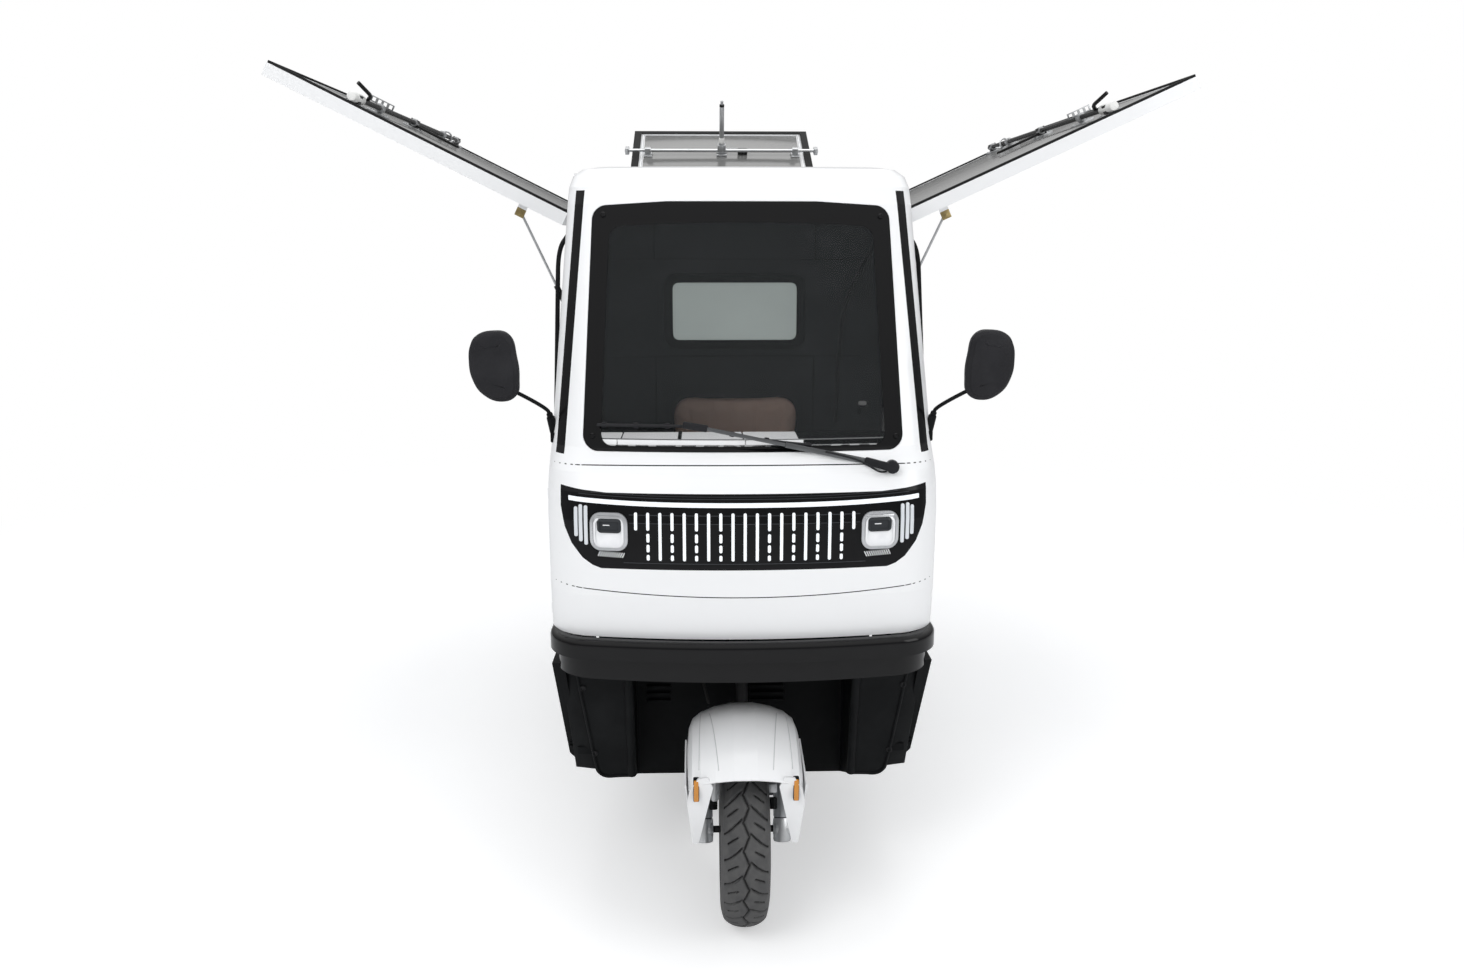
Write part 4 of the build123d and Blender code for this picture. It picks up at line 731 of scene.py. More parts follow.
def border(name, half, near, far, wide, thick, lift, turned, edge=0.0):
    """Four strips round a rectangle on the panel: two along the run, two across."""
    low, high = lift, lift + thick
    parts = [
        slab(
            name, (side * half - (wide if side > 0 else 0), near, low),
            (side * half + (wide if side < 0 else 0), far, high), edge
        )
        for side in (-1, 1)
    ]
    inner = half - wide
    parts.append(slab(name, (-inner, near, low), (inner, near + wide, high), edge))
    parts.append(slab(name, (-inner, far - wide, low), (inner, far, high), edge))
    made = joined(name, *parts)
    made.matrix_world = turned
    return take_again(made)


def take_again(made):
    pick(made)
    bpy.ops.object.transform_apply(location=True, rotation=True, scale=True)
    return made


for name, (turned, half, reach) in leaves.items():
    band = 0.036 if name == "rear_door" else 0.016
    near, far = 0.008, reach - 0.002
    seal = border(
        f"{name}_seal", half - 0.001, near, far, band, 0.005 if name == "rear_door" else 0.0085,
        OUTER - 0.0005, turned, 0.0015
    )
    done(seal, rubber, name)
    inner = half - 0.001 - band
    frame_line = border(
        f"{name}_frame_line", inner - 0.001, near + band + 0.001, far - band - 0.001, 0.007, 0.0022,
        OUTER - 0.0004, turned, 0.0006
    )
    second = border(
        f"{name}_frame_line_inner", inner - 0.013, near + band + 0.013, far - band - 0.013, 0.005, 0.0022,
        OUTER - 0.0004, turned, 0.0006
    )
    lines = joined(f"{name}_frame_line", frame_line, second)
    done(lines, frame_aluminium, name)
    gap = 0.0205
    sheet = slab(
        f"{name}_skin", (-inner + gap, near + band + gap, OUTER - 0.0004),
        (inner - gap, far - band - gap, OUTER + 0.0012), 0.0008
    )
    sheet.matrix_world = turned
    take_again(sheet)
    done(sheet, grey_panel, name)
for name in leaves:
    bpy.data.objects[f"{name}_panel"].data.materials[0] = white_paint.material
print("leaf trim", len([o for o in bpy.data.objects if "seal" in o.name or "skin" in o.name]))

# %% [markdown]
# Lamps, seams and screws lie on the nose, which curves both ways. A probe looks from ahead for the
# first CAD surface at each place, and a piece that was modelled round the plane Y = 0 is pushed back
# onto it, point by point. Long pieces need cross cuts first, so that they can bend.

# %% Probe of the nose
from mathutils.bvhtree import BVHTree


def probe(*names):
    """The faces of some CAD nodes, to look for from any side."""
    points, faces = [], []
    for name in names:
        mesh = bpy.data.objects[name].data
        start = len(points)
        points.extend(vertex.co.copy() for vertex in mesh.vertices)
        faces.extend([start + index for index in face.vertices] for face in mesh.polygons)
    return BVHTree.FromPolygons(points, faces)


nose_faces = probe("nose_panel", "lamp_panel", "cab_shell", "windscreen", "pillar_strips")


def ahead(x, z):
    """Y of the first surface met from ahead at this place."""
    for _ in range(40):
        spot = nose_faces.ray_cast(Vector((x, at(-0.4), z)), Vector((0, 1, 0)))[0]
        if spot is not None:
            return spot.y
        x *= 0.985
    return at(0)


def drape(piece):
    """Pushes a piece modelled round Y = 0 back onto the nose."""
    for vertex in piece.data.vertices:
        vertex.co.y += ahead(vertex.co.x, vertex.co.z)
    return piece


print("lamp face at", round(ahead(0, 1.087) - nose, 4), round(ahead(0.4, 1.087) - nose, 4))

# %% [markdown]
# Edit mode works on what is selected, and faces are chosen here by where they are or which way they
# look. Three small tools are built on that: cross cuts at even steps, a hollow sunk into a face, and a
# plate with round corners.

# %% Tools that shape pieces in edit mode
def choose(piece, test):
    """Edit mode, with the faces selected whose centre and normal pass the test."""
    pick(piece)
    bpy.ops.object.mode_set(mode="EDIT")
    bpy.ops.mesh.select_mode(type="FACE")
    bpy.ops.mesh.select_all(action="DESELECT")
    bpy.ops.object.mode_set(mode="OBJECT")
    for face in piece.data.polygons:
        face.select = test(face.center, face.normal)
    bpy.ops.object.mode_set(mode="EDIT")


def cuts(piece, step, *axes):
    """Cross cuts through the piece at even steps along each axis."""
    for axis in axes:
        spots = [vertex.co[axis] for vertex in piece.data.vertices]
        low, high = min(spots), max(spots)
        number = max(1, round((high - low) / step))
        for index in range(1, number):
            place, way = Vector(), Vector()
            place[axis] = low + (high - low) * index / number
            way[axis] = 1
            choose(piece, lambda centre, normal: True)
            bpy.ops.mesh.bisect(plane_co=place, plane_no=way)
            calm()
    return piece


def sink(piece, test, border, depth, way=(0, 1, 0)):
    """Insets the chosen faces and moves the inner one along a way, negative depth raises it."""
    choose(piece, test)
    bpy.ops.mesh.inset(thickness=border, depth=0, use_even_offset=True)
    bpy.ops.transform.translate(value=Vector(way) * depth)
    calm()
    return piece


def front(centre, normal):
    return normal.y < -0.9


def plate(name, x, z, wide, high, corner, back, face, bevel=0.0):
    """A plate with round corners that looks ahead, between two distances from the nose."""
    calm()
    bpy.ops.mesh.primitive_cube_add(size=1, location=(x, (back + face) / 2, z))
    bpy.context.object.scale = (wide, abs(back - face), high)
    made = take(name)
    pick(made)
    bpy.ops.object.mode_set(mode="EDIT")
    bpy.ops.mesh.select_mode(type="EDGE")
    bpy.ops.mesh.select_all(action="DESELECT")
    bpy.ops.object.mode_set(mode="OBJECT")
    for edge in made.data.edges:
        a, b = (made.data.vertices[index].co for index in edge.vertices)
        edge.select = abs(a.y - b.y) > 1e-6
    bpy.ops.object.mode_set(mode="EDIT")
    bpy.ops.mesh.bevel(offset=corner, segments=6, affect="EDGES")
    calm()
    if bevel:
        use(made, "BEVEL", width=bevel, segments=2, limit_method="ANGLE", angle_limit=1.0)
    return made


print("edit tools ready")

# %% [markdown]
# The lamp panel is one dark housing behind a clear cover. Across it runs a white light guide that
# rises a little at its ends, and under it nineteen upright light strips, some whole and some broken
# into dashes. They are thin bars with rounded ends, pushed back onto the panel, and they stand in for
# the plain strips of the CAD model.

# %% Light guide and strips
def guide_rise(x):
    """The light guide climbs towards its ends."""
    return 0.011 * (abs(x) / 0.438) ** 3


light_bar = slab("light_bar", (-0.436, -0.0022, 1.1490), (0.436, 0.001, 1.1605), 0.0012)
cuts(light_bar, 0.022, 0)
for vertex in light_bar.data.vertices:
    vertex.co.z += guide_rise(vertex.co.x)
drape(light_bar)

TOP, DASHES = 1.136, ((1.136, 1.092), (1.084, 1.062), (1.056, 1.037), (1.030, 1.016))
KINDS = (
    "short dashed whole dashed whole dashed whole dashed whole whole whole "
    "dashed whole dashed whole dashed whole dashed short"
)
strips = []
for index, kind in enumerate(KINDS.split()):
    x = (index - 9) * 0.0298
    spans = {"short": DASHES[:1], "dashed": DASHES, "whole": ((TOP, 1.016),)}[kind]
    for high, low in spans:
        strip = plate("strip", x, (high + low) / 2, 0.0075, high - low, 0.0033, 0.001, -0.0022)
        strips.append(drape(cuts(strip, 0.02, 2)))
lights = joined("light_strips_dashed", light_bar, *strips)
done(lights, led_white)
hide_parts("light_strips")
print("light strips", len(strips), "faces", len(lights.data.polygons))

# %% [markdown]
# Behind the strips run two thin rails, and the housing shows a bevelled upper lip. These are hair
# lines in the photo, kept as narrow ribs of grey plastic.

# %% Rails and lips of the lamp housing
housing_grey = gloss_black("housing_grey", (0.045, 0.047, 0.052), 0.2)
slots[housing_grey] = "black_gloss"
ribs = []
for low, high, reach in ((1.1285, 1.1305, 0.285), (1.1085, 1.1102, 0.285), (1.0075, 1.0095, 0.30)):
    rib = slab("rib", (-reach, -0.0012, low), (reach, 0.001, high), 0.0004)
    ribs.append(drape(cuts(rib, 0.03, 0)))
for low, high, reach in ((1.1685, 1.1700, 0.41), (1.1745, 1.1757, 0.38)):
    rib = slab("rib", (-reach, -0.0010, low), (reach, 0.001, high), 0.0004)
    cuts(rib, 0.03, 0)
    for vertex in rib.data.vertices:
        vertex.co.z += guide_rise(vertex.co.x)
    ribs.append(drape(rib))
done(joined("lamp_housing_rails", *ribs), housing_grey)
print("rails", len(ribs))

# %% [markdown]
# Each headlamp is a rounded square: a satin ring, a bright bowl inside it, and a dark projector lens
# in the upper half with a flat lower edge. A thin white bar across the lens is a painted highlight. It is
# built as nested plates, the ring's face sunk to make its wall, and stands in for the plain CAD block.

# %% Headlamps
lamp_chrome = metal("lamp_chrome", (0.72, 0.73, 0.75), 0.22)
bowl_white = Finish("bowl_white", (0.86, 0.87, 0.89), 0.18, specular_ior_level=0.6)
bowl_white.give(
    "Base Color", bowl_white.mix(bowl_white.noise(0.02, 2.0), (0.80, 0.81, 0.83), (0.95, 0.95, 0.96))
)
projector_glass = gloss_black("projector_glass", (0.035, 0.038, 0.042), 0.06)
slots.update({lamp_chrome: "lamp_white", bowl_white: "lamp_white", projector_glass: "black_gloss"})
rings, bowls, projectors = [], [], []
for side in (-1, 1):
    x, z = side * 0.335, 1.087
    ring = plate("ring", x, z, 0.094, 0.096, 0.027, 0.001, -0.0065, 0.0012)
    sink(ring, front, 0.0075, 0.0035)
    rings.append(ring)
    bowl = plate("bowl", x + side * 0.001, z - 0.003, 0.076, 0.078, 0.020, -0.0015, -0.0042, 0.0008)
    sink(bowl, front, 0.006, 0.0012)
    bowls.append(bowl)
    lens_block = plate("lens", x - side * 0.001, z + 0.015, 0.060, 0.036, 0.010, -0.003, -0.0064, 0.0014)
    sink(lens_block, front, 0.007, -0.0004)
    projectors.append(lens_block)
    brow = plate("brow", x, z + 0.036, 0.070, 0.006, 0.0025, -0.003, -0.006, 0.0006)
    rings.append(brow)
    # painted highlight: a thin white bar on the dark projector lens, joined with the bowls
    glint = plate("glint", x - 0.006, z + 0.017, 0.017, 0.0022, 0.0009, -0.004, -0.0068)
    bowls.append(glint)
for piece in (*rings, *bowls, *projectors):
    drape(piece)
ring_piece = done(joined("headlamp_rings", *rings), lamp_chrome)
bowl_and_glint_piece = done(joined("headlamp_bowls", *bowls), bowl_white)
lens_piece = done(joined("headlamp_projectors", *projectors), projector_glass)
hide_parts("headlamps")
print("headlamp faces", sum(len(p.data.polygons) for p in (ring_piece, bowl_and_glint_piece, lens_piece)))

# %% [markdown]
# Outboard of each headlamp stand three clear upright light guides, and below it a row of slanted ticks
# is moulded into the housing.

# %% Side guides and ticks
guides, ticks = [], []
for side in (-1, 1):
    for index, (x, low, high) in enumerate(
        ((0.392, 1.052, 1.150), (0.405, 1.060, 1.152), (0.417, 1.072, 1.146))
    ):
        rod = plate("guide", side * x, (low + high) / 2, 0.0095, high - low, 0.004, 0.001, -0.006, 0.0015)
        guides.append(drape(cuts(rod, 0.02, 2)))
    for index in range(12):
        x = side * (0.300 + index * 0.0056)
        tick = plate("tick", x, 1.0270 + index * 0.0003, 0.0020, 0.014, 0.0008, 0.001, -0.0016)
        pick(tick)
        bpy.ops.object.mode_set(mode="EDIT")
        bpy.ops.mesh.select_all(action="SELECT")
        bpy.ops.transform.rotate(value=side * 0.45, orient_axis="Y", center_override=(x, 0, 1.027))
        calm()
        ticks.append(drape(tick))
done(joined("side_light_guides", *guides), lamp_clear)
done(joined("housing_ticks", *ticks), bowl_white)
print("guides", len(guides), "ticks", len(ticks))

# %% [markdown]
# Real panels part from each other at dark seams a few millimetres wide. The one under the windscreen
# and the curved one below the lamps are drawn as narrow black beads that follow the skin. The lower
# one climbs to the sides.

# %% Seams of the nose
def seam(name, half, height, rise, wide=0.0026):
    bead = slab(name, (-half, -0.0003, height - wide / 2), (half, 0.002, height + wide / 2), 0.0004)
    cuts(bead, 0.016, 0)
    for vertex in bead.data.vertices:
        vertex.co.z += rise * (vertex.co.x / half) ** 2
    return drape(bead)


seams = joined("nose_seams", seam("seam", 0.478, 1.2445, -0.004), seam("seam", 0.478, 0.921, 0.024))
done(seams, rubber)
print("seams", len(seams.data.polygons))

# %% [markdown]
# Four screws with domed heads hold the corners of the windscreen's border.

# %% Windscreen screws
def screw(name, place, way, radius=0.006, high=0.003, turned=None):
    """A domed screw head with a sunk hexagon, standing on a surface."""
    calm()
    spot, way = Vector(place), Vector(way).normalized()
    turn = way.to_track_quat("Z", "Y").to_euler()
    bpy.ops.mesh.primitive_cylinder_add(
        vertices=24, radius=radius, depth=high, location=spot + way * high / 2, rotation=turn
    )
    head = take(name, turned)
    rim = (turned.to_3x3() @ way) if turned is not None else way
    for border, depth in ((radius * 0.22, high * 0.35), (radius * 0.30, 0.0), (radius * 0.02, -high * 0.7)):
        choose(head, lambda centre, normal: normal.dot(rim) > 0.95)
        bpy.ops.mesh.inset(thickness=border, depth=0)
        bpy.ops.transform.translate(value=rim * depth)
        calm()
    return head


glass_screws = []
for x, z in ((-0.357, 1.852), (0.362, 1.848), (-0.380, 1.308), (0.386, 1.304)):
    spot = Vector((x, ahead(x, z), z))
    slope = (ahead(x, z + 0.02) - ahead(x, z - 0.02)) / 0.04
    glass_screws.append(screw("screw", spot - Vector((0, 0.0005, 0)), (0, -1, slope), 0.0065, 0.003))
done(joined("windscreen_screws", *glass_screws), black_gloss)
print("screws", len(glass_screws))

# %% [markdown]
# Each wing is locked by a long black rod across its outer face. At its front end sits a white plastic
# cap with a dark hook over it, near that a zinc plate with four square holes for the padlock, and
# further back a ring in a clamp. They stand on the plane of the wing, so its matrix carries them.

# %% Lock gear of the wings
white_plastic = Finish("white_plastic", (0.80, 0.80, 0.78), 0.35)
dull = white_plastic.noise(0.05, 4.0).soft(0.4, 0.8)
white_plastic.give("Base Color", white_plastic.mix(dull * 0.4, (0.82, 0.82, 0.80), (0.62, 0.61, 0.58)))
slots[white_plastic] = "white_paint"
WING_ROD, DOOR_ROD, ROD_LIFT = 0.730, 0.786, 0.014


def cut_out(piece, *cutters):
    """Takes the cutters away from a piece."""
    cutter = joined("cutter", *cutters) if len(cutters) > 1 else cutters[0]
    use(piece, "BOOLEAN", object=cutter, operation="DIFFERENCE", solver="EXACT")
    bpy.data.objects.remove(cutter)
    return piece


def ring(name, centre, radius, thick, turned=None, way=(0, 0, 1), sides=28):
    """A round ring about an axis."""
    calm()
    turn = Vector(way).to_track_quat("Z", "Y").to_euler()
    bpy.ops.mesh.primitive_torus_add(
        location=centre, rotation=turn, major_radius=radius, minor_radius=thick, major_segments=sides,
        minor_segments=10
    )
    return take(name, turned)


def clamp(u, run_at, turned):
    """A sleeve round the lock rod on a foot with four screws."""
    parts = [
        bar(
            "sleeve", (u - 0.015, run_at, ROD_LIFT), (u + 0.015, run_at, ROD_LIFT), 0.0142, 28, 0.0015,
            turned
        )
    ]
    parts.append(
        slab(
            "foot", (u - 0.021, run_at - 0.034, -0.0092), (u + 0.021, run_at + 0.034, -0.0016), 0.0015,
            turned
        )
    )
    for a in (-0.013, 0.013):
        for b in (-0.025, 0.025):
            parts.append(
                bar(
                    "bolt", (u + a, run_at + b, -0.003), (u + a, run_at + b, 0.0012), 0.0042, 6, 0.0006,
                    turned
                )
            )
    return parts


for name, end in (("wing_left", -1), ("wing_right", 1)):
    turned, half, reach = leaves[name]
    spot = WING_ROD
    cap = bar(
        "cap", (end * 0.764, spot, ROD_LIFT), (end * 0.655, spot, ROD_LIFT), 0.0150, 28, 0.006, turned
    )
    done(cap, white_plastic, name)
    cap.name = f"{name}_rod_cap"
    hook = tube(
        f"{name}_rod_hook",
        [(end * 0.70, spot + 0.016, 0.058), (end * 0.68, spot - 0.004, 0.048),
         (end * 0.64, spot - 0.018, 0.038),
         (end * 0.60, spot + 0.002, 0.022), (end * 0.58, spot + 0.004, 0.012)],
        0.0062, turned,
    )
    done(hook, strut_black, name)
    hasp = slab(
        "hasp", (end * 0.450 - 0.0016, spot - 0.040, 0.0215), (end * 0.450 + 0.0016, spot + 0.040, 0.0415),
        0.0008, turned
    )
    holes = []
    for index in range(4):
        v = spot - 0.029 + index * 0.0193
        holes.append(
            slab(
                "hole", (end * 0.450 - 0.01, v - 0.0058, 0.0255), (end * 0.450 + 0.01, v + 0.0058, 0.0375),
                0, turned
            )
        )
    cut_out(hasp, *holes)
    tail = slab(
        "tail", (end * 0.450 - 0.0016, spot - 0.012, -0.004), (end * 0.450 + 0.0016, spot + 0.012, 0.024),
        0.0008, turned
    )
    gear = [hasp, tail]
    for u in (-0.7075, -0.45, 0.0, 0.45, 0.7075):
        gear.extend(clamp(u, spot, turned))
    gear.append(ring("ring", (-end * 0.47, spot - 0.012, 0.012), 0.021, 0.0035, turned, (1, 0.3, 0.2)))
    gear.append(ring("ring", (-end * 0.50, spot - 0.030, 0.004), 0.014, 0.003, turned, (0.2, 0.4, 1)))
    done(joined(f"{name}_lock_gear", *gear), zinc, name)
    grip = slab("grip", (-0.012, spot - 0.178, 0.0015), (0.012, spot - 0.03, 0.0105), 0.004, turned, 3)
    done(grip, rubber, name)
    grip.name = f"{name}_grip"
    bpy.data.objects[f"{name}_lock"].data.materials[0] = strut_black.material
print("wing gear", len([o for o in bpy.data.objects if "gear" in o.name]))

# %% [markdown]
# The rear door's rod is bare zinc. It turns in two clamps, ends in forked cams beyond the seals, and its
# handle stands up from a hexagonal hub through a white bush. A short chain holds the padlock's hasp.

# %% Lock gear of the rear door
turned, half, reach = leaves["rear_door"]
spot = DOOR_ROD
gear = [*clamp(-0.371, spot, turned), *clamp(0.371, spot, turned)]
for end in (-1, 1):
    cam = slab(
        "cam", (end * 0.474 - 0.010, spot - 0.017, -0.0035), (end * 0.474 + 0.010, spot + 0.017, 0.029),
        0.003, turned
    )
    notch = slab(
        "notch", (end * 0.474 - 0.02, spot + 0.004, 0.002), (end * 0.474 + 0.02, spot + 0.03, 0.014), 0,
        turned
    )
    gear.append(cut_out(cam, notch))
gear.append(bar("hub", (0, spot, 0.010), (0, spot, 0.046), 0.0235, 6, 0.0015, turned))
gear.append(slab("hub_foot", (-0.026, spot - 0.030, -0.0092), (0.026, spot + 0.030, 0.004), 0.002, turned))
gear.append(bar("nut", (0, spot, 0.046), (0, spot, 0.054), 0.0160, 24, 0.001, turned))
gear.append(bar("grip", (0, spot, 0.080), (0, spot, 0.236), 0.0112, 28, 0.001, turned))
for index in range(6):
    u = 0.024 + index * 0.0105
    gear.append(
        ring(
            "link", (u, spot + 0.014, 0.016), 0.0058, 0.0015, turned, (0, 1, 0) if index % 2 else (0, 0, 1),
            14
        )
    )
done(joined("rear_door_lock_gear", *gear), zinc, "rear_door")
bush = done(
    bar("bush", (0, spot, 0.054), (0, spot, 0.080), 0.0135, 28, 0.002, turned), white_plastic, "rear_door"
)
bush.name = "rear_door_bush"
tip = bar("tip", (0, spot, 0.2360), (0, spot, 0.2470), 0.0118, 24, 0.001, turned)
hasp = slab("hasp", (0.082, spot + 0.002, -0.0085), (0.130, spot + 0.034, 0.014), 0.003, turned)
cut_out(hasp, bar("eye", (0.098, spot - 0.02, 0.003), (0.098, spot + 0.05, 0.003), 0.005, 16, 0, turned))
cut_out(hasp, bar("eye", (0.113, spot - 0.02, 0.003), (0.113, spot + 0.05, 0.003), 0.005, 16, 0, turned))
done(joined("rear_door_tip_and_hasp", tip, hasp), strut_black, "rear_door")
print("door gear", len(gear))

# %% [markdown]
# The gas struts end in yellow zinc brackets: a cheek plate on the panel's end member with a ball stud,
# and a ball socket on the rod's end. Their places follow from the strut's pin on the panel.

# %% Strut brackets
STRUT_RUN, STRUT_PIN, STRUT_INSET = 0.144, -0.075, 0.073
for name, (turned, half, reach) in leaves.items():
    brackets = []
    for end in (-1, 1):
        u = end * (half - STRUT_INSET)
        out_u = end * (half - 0.0525)
        brackets.append(
            bar(
                "socket", (u - 0.0075, STRUT_RUN, STRUT_PIN), (u + 0.0075, STRUT_RUN, STRUT_PIN), 0.0092,
                20, 0.002, turned
            )
        )
        brackets.append(
            bar(
                "stud", (out_u - 0.005, STRUT_RUN, STRUT_PIN), (out_u + 0.005, STRUT_RUN, STRUT_PIN),
                0.0062, 6, 0.001, turned
            )
        )
        cheek = slab(
            "cheek", (out_u - 0.0036, STRUT_RUN - 0.0146, STRUT_PIN - 0.0125),
            (out_u + 0.0036, STRUT_RUN + 0.0146, STRUT_PIN + 0.014), 0.0012, turned
        )
        brackets.append(cheek)
    done(joined(f"{name}_strut_brackets", *brackets), yellow_zinc, name)
print("brackets on", len(leaves), "panels")
# %% [markdown]
# A tyre's tread is moulded: a zigzag groove in the middle, long curved slits from the shoulders almost
# to it, and short slits between them, with the two sides half a step apart. One grid is rolled into the
# tyre's section and revolved, and wherever the pattern says so its points sink by the groove's depth.

# %% Tyres with moulded tread
TYRE_R, TYRE_HALF, BEAD_R, BEAD_HALF = 0.246, 0.0635, 0.1535, 0.046
PITCHES, GROOVE_DEEP = 22, 0.0060


def tyre_section(share):
    """Sideways place and radius at a share of the way from bead to bead."""
    around = (share - 0.5) * 2
    side, lean = math.copysign(1, around), abs(around)
    if lean < 0.56:
        turn = lean / 0.56 * math.radians(70)
        return side * 0.0595 * math.sin(turn), TYRE_R - 0.0595 * (1 - math.cos(turn)) * 0.62
    fall = (lean - 0.56) / 0.44
    start = TYRE_R - 0.0595 * (1 - math.cos(math.radians(70))) * 0.62
    bulge = 0.0559 + (TYRE_HALF - 0.0559) * math.sin(min(1.0, fall * 1.7) * math.pi / 2)
    pulled = bulge - (TYRE_HALF - BEAD_HALF) * max(0.0, fall - 0.45) / 0.55
    return side * pulled, start - (start - BEAD_R) * fall


def near_line(off, half, soft=0.0014):
    """1 inside a line's half width, falling to 0 over a soft edge."""
    return min(1.0, max(0.0, (half - abs(off)) / soft + 1))


def tread(along, across):
    """Depth of the tread pattern, 0 to 1, at a pitch count and a sideways distance in metres."""
    pitch = 2 * math.pi * TYRE_R / PITCHES
    step = along % 1.0
    zig = 0.0072 * (abs(step - 0.5) * 4 - 1)
    deep = near_line(across - zig, 0.0026)
    side = 1 if across > 0 else -1
    reach = abs(across)
    step = (along + (0.5 if side > 0 else 0.0)) % 1.0
    if 0.010 < reach < 0.054:
        inward = (0.054 - reach) / 0.044
        spot = 0.10 + 0.52 * inward ** 1.25
        slim = 0.0031 * (0.45 + 0.55 * math.sin(math.pi * min(1.0, inward * 0.9 + 0.1)))
        deep = max(deep, near_line((step - spot) * pitch, slim))
    if 0.020 < reach < 0.046:
        inward = (0.046 - reach) / 0.026
        spot = (0.74 + 0.24 * inward) % 1.0
        gap = min(abs(step - spot), 1 - abs(step - spot))
        slim = 0.0026 * math.sin(math.pi * min(1.0, inward * 0.8 + 0.15))
        deep = max(deep, near_line(gap * pitch, slim))
    return deep


def tyre(name, body, axle):
    """One tyre about a level axle: a fine grid, rolled up."""
    around, across = ((624, 96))
    calm()
    bpy.ops.mesh.primitive_grid_add(x_subdivisions=around, y_subdivisions=across, size=1)
    made = take(name)
    for vertex in made.data.vertices:
        along, share = vertex.co.x + 0.5, vertex.co.y + 0.5
        eased = share
        x, radius = tyre_section(eased)
        if radius > 0.2125:
            edge = min(1.0, (radius - 0.2125) / 0.004)
            radius -= GROOVE_DEEP * edge * tread(along * PITCHES, x)
        elif 0.170 < radius < 0.1735 or 0.2055 < radius < 0.2075:
            x *= 1.012
        turn = along * 2 * math.pi
        vertex.co = (axle.x + x, axle.y + radius * math.sin(turn), axle.z + radius * math.cos(turn))
    pick(made)
    bpy.ops.object.mode_set(mode="EDIT")
    bpy.ops.mesh.select_all(action="SELECT")
    bpy.ops.mesh.remove_doubles(threshold=0.00005)
    bpy.ops.mesh.normals_make_consistent(inside=False)
    calm()
    return done(made, tyre_rubber, body, 60)


wheels = (("front", "front_wheel"), ("rear_left", "rear_wheel_left"), ("rear_right", "rear_wheel_right"))
axles = {}
for name, body in wheels:
    low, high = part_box(f"{name}_tyre")
    axles[name] = (Vector(low) + Vector(high)) / 2
    made = tyre(f"{name}_tyre_tread", body, axles[name])
    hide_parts(f"{name}_tyre")
print(
    "tyre faces", len(made.data.polygons),
    {name: [round(v, 3) for v in axle] for name, axle in axles.items()}
)

# %% [markdown]
# The rims are pressed and riveted steel discs in silver. Each gets a ring of wheel nuts with washers,
# and a valve that points to the outside.

# %% Wheel nuts, caps and valves
def wheel_fittings(name, body, sides):
    axle = axles[name]
    low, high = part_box(f"{name}_rim")
    parts = []
    for side in sides:
        face = high[0] if side > 0 else low[0]
        for index in range(5):
            turn = 2 * math.pi * index / 5 + 0.3
            spot = Vector(
                (axle.x + side * 0.022, axle.y + 0.052 * math.sin(turn), axle.z + 0.052 * math.cos(turn))
            )
            parts.append(bar("nut", spot, spot + Vector((side * 0.016, 0, 0)), 0.0078, 6, 0.0012))
            parts.append(bar("washer", spot, spot + Vector((side * 0.004, 0, 0)), 0.0105, 20, 0.0006))
        spot = Vector((axle.x + side * 0.030, axle.y + 0.020, axle.z + 0.134))
        parts.append(bar("valve", spot, spot + Vector((side * 0.016, 0, -0.014)), 0.0032, 12, 0.0006))
    return done(joined(f"{name}_wheel_nuts", *parts), zinc, body)


wheel_fittings("front", "front_wheel", (-1, 1))
wheel_fittings("rear_left", "rear_wheel_left", (-1,))
wheel_fittings("rear_right", "rear_wheel_right", (1,))
print("wheel fittings on 3 wheels")
# %% [markdown]
# The front wheel's fork is black with cast silver ends, short shock absorbers with springs round them,
# and a brake on the left. They all lean with the steering axis, so they are built along it.

# %% Fork ends, shocks and brake
bpy.data.objects["fork"].data.materials[0] = chassis_steel.material
shock_grey = metal("shock_grey", (0.34, 0.35, 0.36), 0.30)
slots[shock_grey] = "silver_cast"
RAKE = math.radians(22)
UP = Vector((0, math.sin(RAKE), math.cos(RAKE)))
FORK_X = 0.104
hub = axles["front"]


def on_fork(x, up, ahead_by=0.0):
    """A point of the steered parts: sideways, up the steering axis, and forward of it."""
    return hub + Vector((x, 0, 0)) + UP * up + Vector((0, -math.cos(RAKE), math.sin(RAKE))) * ahead_by


cast, shocks, darks = [], [], []
for side in (-1, 1):
    x = side * FORK_X
    cast.append(bar("end", on_fork(x, -0.034), on_fork(x, 0.030), 0.0235, 28, 0.006))
    cast.append(bar("boss", on_fork(x - 0.020, 0), on_fork(x + 0.022, 0), 0.0215, 28, 0.003))
    cast.append(bar("nut", on_fork(x + side * 0.022, 0), on_fork(x + side * 0.030, 0), 0.0150, 6, 0.0015))
    cast.append(bar("collar", on_fork(side * 0.080, 0), on_fork(side * 0.090, 0), 0.0160, 24, 0.0015))
    shocks.append(bar("shock", on_fork(x, 0.030), on_fork(x, 0.128), 0.0225, 28, 0.003))
    for index in range(7):
        shocks.append(ring("coil", on_fork(x, 0.134 + index * 0.0085), 0.0195, 0.0030, None, UP, 24))
    shocks.append(
        bar(
            "inner", on_fork(side * 0.074, 0.085, -0.02), on_fork(side * 0.074, 0.190, -0.02), 0.0115, 20,
            0.002
        )
    )
    darks.append(
        bar(
            "block", on_fork(side * 0.080, 0.052, 0.012), on_fork(side * 0.080, 0.082, 0.012), 0.0115, 20,
            0.002
        )
    )
cast.append(slab("caliper", (-0.086, hub.y - 0.030, 0.340), (-0.066, hub.y + 0.012, 0.398), 0.006))
cast.append(slab("lug", (0.066, hub.y - 0.026, 0.362), (0.088, hub.y + 0.006, 0.388), 0.004))
